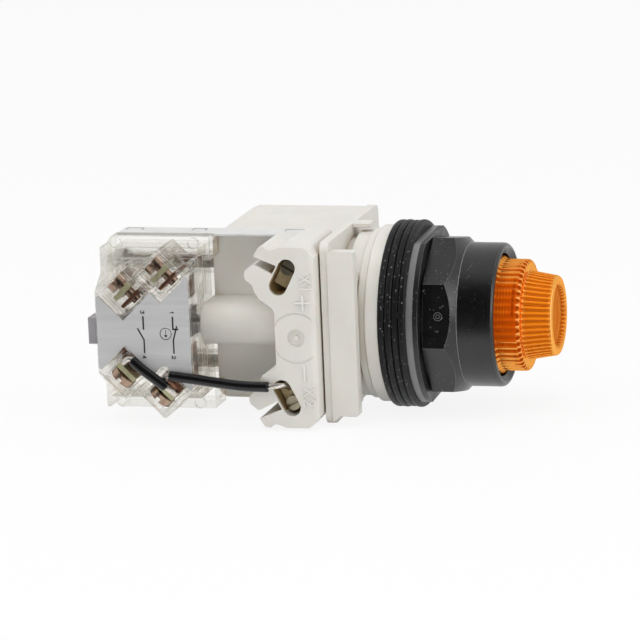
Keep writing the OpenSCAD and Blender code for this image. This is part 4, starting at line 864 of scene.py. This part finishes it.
def stroke(a, b, width, to_point, lift):
    """A thin raised bar from a to b in a flat drawing. to_point turns (across, up, out) into a place."""
    ax, az = a
    bx, bz = b
    share = width / 2 / math.hypot(bx - ax, bz - az)
    ux = share * (bx - ax)
    uz = share * (bz - az)
    corners = [
        (ax - ux - uz, az - uz + ux), (bx + ux - uz, bz + uz + ux),
        (bx + ux + uz, bz + uz - ux), (ax - ux + uz, az - uz - ux),
    ]
    points = [to_point(x, z, out) for out in (0.0, lift) for x, z in corners]
    faces = [(4, 5, 6, 7), (3, 2, 1, 0)] + [(k, (k + 1) % 4, 4 + (k + 1) % 4, 4 + k) for k in range(4)]
    return points, faces


def polyline(places, width, to_point, lift=STROKE_LIFT):
    """Bars from place to place, each one a little higher than the last."""
    pairs = enumerate(zip(places, places[1:]))
    return joined([stroke(a, b, width, to_point, lift + STROKE_STEP * number) for number, (a, b) in pairs])


def make_label_print():
    """Contact signs, terminal numbers and a push sign on the label plate."""
    def on_label(x, z, out):
        return (x, LABEL_FACE - out, z)

    parts = [
        polyline(NO_LEAD, LEAD_WIDTH, on_label),
        polyline(NO_BLADE, BLADE_WIDTH, on_label),
        polyline(NC_LEAD, LEAD_WIDTH, on_label),
        polyline(NC_BLADE, BLADE_WIDTH, on_label),
        polyline(circle(PUSH_X, PUSH_R, steps=24), PUSH_RING_WIDTH, on_label),
        polyline(PUSH_SHAFT, PUSH_SHAFT_WIDTH, on_label),
        polyline(PUSH_HEAD, PUSH_HEAD_WIDTH, on_label),
    ]
    for digit, (x, z) in DIGIT_PLACES.items():
        places = [
            (x + DIGIT_SHIFT_X + DIGIT_SIZE * up * DIGIT_HEIGHT, z + DIGIT_SHIFT_Z - DIGIT_SIZE * across)
            for across, up in DIGITS[digit]
        ]
        parts.append(polyline(places, DIGIT_WIDTH, on_label))
    piece = mesh_piece("label_print", *joined(parts), INK, smooth=False)


def make_strip_print():
    """Plain cutting marks on the white label strip."""
    def on_strip(x, y, out):
        return (x, y, STRIP_TOP + out)

    near = STRIP_MARK_NEAR
    far = STRIP_MARK_FAR
    parts = [
        polyline(((x1, near), (x1, far), (x2, far), (x2, near)), STRIP_MARK_WIDTH, on_strip)
        for x1, x2 in STRIP_MARKS
    ]
    piece = mesh_piece("strip_print", *joined(parts), INK, smooth=False)


def lathe(profile, waves):
    """Points and faces of a closed form turned about X.

    profile is a list of (x, radius, depth): depth is how deep the flutes cut there, and a radius of 0
    ends in one point on the axis. The first and the last place are on the axis.
    """
    sides = waves * FLUTE_STEPS
    points, rings = [], []
    for x, radius, depth in profile:
        if radius == 0:
            rings.append([len(points)] * sides)
            points.append((x, 0.0, 0.0))
            continue
        rings.append(list(range(len(points), len(points) + sides)))
        for k in range(sides):
            turn = math.tau * k / sides
            r = radius - depth * (0.5 - 0.5 * math.cos(waves * turn)) ** FLUTE_SHARPNESS
            points.append((x, r * math.cos(turn), r * math.sin(turn)))
    faces = []
    for a, b in zip(rings, rings[1:]):
        for k in range(sides):
            n = (k + 1) % sides
            face = tuple(dict.fromkeys((a[k], a[n], b[n], b[k])))
            if len(face) > 2:
                faces.append(face)
    return points, faces


def make_lens():
    """The lens with its fine flutes, toothed shoulder and knurled recess. The cup behind is hollow."""
    front = LENS_FRONT
    shoulder = LENS_SHOULDER
    rear = frame_low("lens").x
    floor = front - RECESS_DEPTH
    deep = FLUTE_DEPTH
    light = FLUTE_DEPTH_BASE
    base_r = LENS_BASE_R
    bore_r = SPIGOT_R - SPIGOT_WALL
    recess = [
        (floor, 0, 0), (floor, 4.0, 0), (front - 1.15, 7.1, 0), (front - 1.0, 7.35, 0.22),
        (front - 0.25, 7.55, 0.22), (front - 0.08, 7.68, 0.0),
    ]
    rim = [
        (front, 7.85, 0), (front, 8.55, 0), (front - 0.10, 8.90, 0), (front - 0.30, 9.15, 0),
        (front - 0.62, 9.33, 0.05), (front - 0.95, 9.37, deep * 0.8),
    ]
    cone = [
        (front - 1.4, 9.45, deep), (front - 3.0, 9.72, deep), (front - 4.8, 10.03, deep),
        (shoulder + 0.9, 10.28, deep), (shoulder + 0.35, 10.36, deep), (shoulder + 0.08, 10.45, deep * 0.6),
    ]
    teeth = [
        (shoulder, 10.75, 0.1), (shoulder, 11.9, 0.1), (shoulder - 0.02, 12.35, 0.35),
        (shoulder - 0.15, 12.72, 0.6), (shoulder - 0.35, 12.9, 0.62), (shoulder - 0.7, 12.98, 0.55),
    ]
    base = [
        (shoulder - 0.95, base_r, light), (shoulder - 2.5, base_r, light), (shoulder - 4.0, base_r, light),
        (shoulder - 5.2, 13.02, light), (shoulder - 5.7, 13.15, light), (shoulder - 6.1, 13.5, light),
        (shoulder - 6.5, 13.76, light * 0.6), (shoulder - 6.9, 13.8, 0.0), (shoulder - 7.4, 13.5, 0),
        (shoulder - 7.9, base_r, 0), (LENS_HEAD_REAR, base_r, 0),
    ]
    cup = [
        (LENS_HEAD_REAR, SPIGOT_R, 0), (rear, SPIGOT_R, 0), (rear, bore_r, 0), (shoulder - 2.0, bore_r, 0),
        (shoulder - 1.4, 8.3, 0), (front - 2.8, 7.3, 0), (front - 2.6, 0, 0),
    ]
    profile = recess + rim + cone + teeth + base + cup
    skin = mesh_piece("lens_skin", *lathe(profile, LENS_FLUTES), LENS, body="button")
    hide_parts("lens")


def hoop(name, x, radius, thick, material):
    """A thin round line about X, such as the light that runs in a fillet."""
    route = [Vector((x, y, z)) for y, z in circle(0.0, radius, steps=160)]
    piece = mesh_piece(name, *tube(route, thick, sides=6), material)


def make_nut_lines():
    """A thin raised hoop painted light grey as the highlight in the nut's fillet, and fine rings on the
    slope of its lip.
    """
    hoop("nut_fillet_highlight", NUT_FILLET_X, FILLET_LINE_R, FILLET_LINE_THICK, FILLET_HIGHLIGHT_GREY)
    for number, radius in enumerate(LIP_RINGS):
        x = LIP_X - (LIP_R - radius) / LIP_SLOPE
        hoop(f"nut_lip_ring_{number + 1}", x, radius, LIP_RING_THICK, RING_GREY)


def ring_form(profile, sides, wobble):
    """Points and faces of a slightly uneven ring turned about X, from a closed profile of (x, radius)."""
    points, faces = [], []
    count = len(profile)
    for k in range(sides):
        turn = math.tau * k / sides
        swell = 1 + wobble * math.sin(2 * turn + 1.1) + 0.6 * wobble * math.sin(5 * turn)
        for x, radius in profile:
            points.append((x, radius * swell * math.cos(turn), radius * swell * math.sin(turn)))
    for k in range(sides):
        n = (k + 1) % sides
        for i in range(count):
            j = (i + 1) % count
            faces.append((k * count + i, k * count + j, n * count + j, n * count + i))
    return points, faces


def make_gaskets():
    """Rubber rings with soft, slightly uneven edges."""
    draw = random.Random(7)
    for index in range(1, 5):
        node = f"gasket_{index}"
        low, high = (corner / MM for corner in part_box(node))
        outer = high.z - draw.uniform(GASKET_LEAST_CUT, GASKET_MOST_CUT)
        middle = (low.x + high.x) / 2
        half = (high.x - low.x) / 2 - GASKET_SIDE_CUT
        profile = [(low.x, GASKET_BORE_R), (low.x, outer - GASKET_SHOULDER)]
        for step in range(GASKET_ROUND_STEPS + 1):
            turn = math.pi * step / GASKET_ROUND_STEPS
            radius = outer - GASKET_ROUND + GASKET_ROUND * math.sin(turn) ** GASKET_ROUND_POWER
            profile.append((middle - half * math.cos(turn), radius))
        profile += [(high.x, outer - GASKET_SHOULDER), (high.x, GASKET_BORE_R)]
        ring = mesh_piece(f"{node}_ring", *ring_form(profile, sides=144, wobble=GASKET_WOBBLE), RUBBER)
        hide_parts(node)


def make_sign_highlights():
    """Pale bars on the tops of the raised terminal signs, as their painted highlight."""
    face = frame_low("light_module_housing").y

    def on_front(x, z, out):
        return (x, face - out, z)

    def tops(strokes, width):
        """Bars at two heights in turn, so that no tops coincide where they cross."""
        lifts = [STROKE_LIFT + SIGN_STEP * (number % 2) for number in range(len(strokes))]
        return [polyline(places, width, on_front, lift) for places, lift in zip(strokes, lifts)]

    letters = [LETTER_1, LETTER_2]
    for z in LETTER_X_PLACES:
        letters.append(((LETTER_REAR, z - LETTER_HALF), (LETTER_FRONT, z + LETTER_HALF)))
        letters.append(((LETTER_REAR, z + LETTER_HALF), (LETTER_FRONT, z - LETTER_HALF)))
    lines = tops(letters, LETTER_WIDTH) + tops(POLE_SIGNS, POLE_WIDTH)
    piece = mesh_piece("terminal_sign_highlights", *joined(lines), SIGN_HIGHLIGHT_IVORY, smooth=False)


def make_nut_marks():
    """Moulded rings and a nick on the nut's front facet, and short scratches on its collar."""
    tilt = math.radians(NUT_FACET_TILT)

    def on_facet(x, up, out):
        reach = NUT_FLAT_R + out
        y = math.sin(tilt) * up - math.cos(tilt) * reach
        z = math.cos(tilt) * up + math.sin(tilt) * reach
        return (x, y, z)

    def on_collar(x, up, out):
        reach = NUT_COLLAR_R + out
        turn = up / NUT_COLLAR_R
        return (x, -math.cos(turn) * reach, math.sin(turn) * reach)

    rings = [circle(FACET_MARK_X, radius, steps=20) for radius in FACET_RINGS]
    parts = [polyline(ring, FACET_RING_WIDTH, on_facet) for ring in rings]
    parts.append(polyline(FACET_NICK, FACET_NICK_WIDTH, on_facet))
    parts += [polyline(route, SCRATCH_WIDTH, on_collar) for route in COLLAR_SCRATCHES]
    piece = mesh_piece("nut_marks", *joined(parts), MARK_GREY, smooth=False)


make_lens()
make_wires()
make_nut_marks()
make_gaskets()
make_sign_highlights()
make_nut_lines()
make_springs()
make_label_print()
make_strip_print()


def make_stage():
    """A white floor under the part."""
    size = FLOOR_HALF
    floor_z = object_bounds()[0].z
    mesh = bpy.data.meshes.new("floor")
    mesh.from_pydata(
        [(-size, -size, floor_z), (size, -size, floor_z), (size, size, floor_z), (-size, size, floor_z)],
        [], [(0, 1, 2, 3)],
    )
    floor = bpy.data.objects.new("floor", mesh)
    bpy.context.collection.objects.link(floor)
    g = Graph("floor")
    pale = g.shader(g.ramp(g.noise(3, 2), (0.3, 0.80), (0.7, 0.83)), 0.6)
    white = g.add("ShaderNodeEmission")
    path = g.add("ShaderNodeLightPath")
    dark = g.spread(g.place()[1], FLOOR_DARK_FROM, FLOOR_BRIGHT_TO, FLOOR_DARKNESS, 0.0, "SMOOTHSTEP")
    hidden = g.times(path.outputs["Is Glossy Ray"], dark)
    g.put(g.maths("SUBTRACT", 1.0, hidden), white.inputs["Strength"])
    seen = g.maths("MAXIMUM", path.outputs["Is Glossy Ray"], path.outputs["Is Transmission Ray"])
    seen = g.times(g.maths("MAXIMUM", seen, path.outputs["Is Camera Ray"]), FLOOR_WHITENESS)
    mesh.materials.append(g.done(g.blend_shaders(seen, pale, white.outputs["Emission"])))


def make_world():
    """White for the camera. As a light it is bright all round and dark towards the camera, as in a tent."""
    world = bpy.data.worlds.new("studio")
    bpy.context.scene.world = world
    world.use_nodes = True
    tree = world.node_tree
    tree.nodes.clear()

    def add(kind, *sources, **settings):
        node = tree.nodes.new(kind)
        for key, value in settings.items():
            setattr(node, key, value)
        for socket, source in zip(node.inputs, sources):
            if source is not None:
                tree.links.new(source, socket)
        return node

    direction = add("ShaderNodeTexCoord").outputs["Generated"]
    towards = add("ShaderNodeVectorMath", direction, operation="DOT_PRODUCT")
    towards.inputs[1].default_value = Vector(TENT_OPENING).normalized()
    shade = add("ShaderNodeMapRange", towards.outputs["Value"], interpolation_type="SMOOTHSTEP")
    shade.inputs["From Min"].default_value = TENT_DARK_FROM
    shade.inputs["From Max"].default_value = TENT_DARK_FULL
    shade.inputs["To Min"].default_value = TENT_LIGHT
    shade.inputs["To Max"].default_value = TENT_DARK
    fill = add("ShaderNodeBackground", None, shade.outputs["Result"])
    white = add("ShaderNodeBackground")
    for node in (fill, white):
        node.inputs["Color"].default_value = (*WHITE, 1.0)
    path = add("ShaderNodeLightPath")
    rays = (path.outputs["Is Camera Ray"], path.outputs["Is Transmission Ray"])
    seen = add("ShaderNodeMath", *rays, operation="MAXIMUM")
    mixed = add("ShaderNodeMixShader", seen.outputs[0], fill.outputs[0], white.outputs[0])
    add("ShaderNodeOutputWorld", mixed.outputs[0])


def area_light(name, place, size, power, mirrored=False):
    """A soft lamp. Only a mirrored one shows in reflections."""
    data = bpy.data.lights.new(name, "AREA")
    data.shape = "RECTANGLE"
    data.size, data.size_y = size
    data.energy = power
    lamp = bpy.data.objects.new(name, data)
    bpy.context.collection.objects.link(lamp)
    lamp.visible_glossy = mirrored
    lamp.location = place
    lamp.rotation_mode = "QUATERNION"
    lamp.rotation_quaternion = (Vector(LIGHT_AIM) - Vector(place)).to_track_quat("-Z", "Y")


def make_lights():
    """Soft lamps above, in front and beside. Places and sizes are in metres, and powers in watts."""
    area_light("top_box", place=(-0.05, -0.2, 0.75), size=(0.9, 0.6), power=3.1)
    area_light("front_box", place=(-0.55, -0.75, 0.55), size=(0.5, 0.4), power=1.5)
    area_light("low_box", place=(0.1, -0.6, 0.06), size=(0.5, 0.14), power=0.9)
    area_light("side_box", place=(0.8, -0.2, 0.3), size=(0.3, 0.6), power=1.5, mirrored=True)


def make_camera():
    """The photograph's camera without its shift."""
    data = bpy.data.cameras.new("camera")
    data.sensor_width = SENSOR_WIDTH
    data.lens = CAMERA_FOCUS_PX / IMAGE_SIZE * SENSOR_WIDTH
    data.clip_start = CAMERA_NEAR * MM
    data.clip_end = CAMERA_FAR * MM
    camera = bpy.data.objects.new("camera", data)
    bpy.context.collection.objects.link(camera)
    yaw, pitch, roll = (math.radians(angle) for angle in (CAMERA_YAW, CAMERA_PITCH, CAMERA_ROLL))
    forward = Vector((math.sin(yaw) * math.cos(pitch), math.cos(yaw) * math.cos(pitch), math.sin(pitch)))
    level = Vector((math.cos(yaw), -math.sin(yaw), 0.0))
    upright = level.cross(forward)
    right = math.cos(roll) * level + math.sin(roll) * upright
    up = -math.sin(roll) * level + math.cos(roll) * upright
    turn = Matrix((right, up, -forward)).transposed().to_4x4()
    camera.matrix_world = Matrix.Translation(Vector(CAMERA_PLACE) * MM) @ turn
    bpy.context.scene.camera = camera


make_stage()
make_world()
make_lights()
make_camera()
bpy.context.scene.view_settings.view_transform = "Standard"
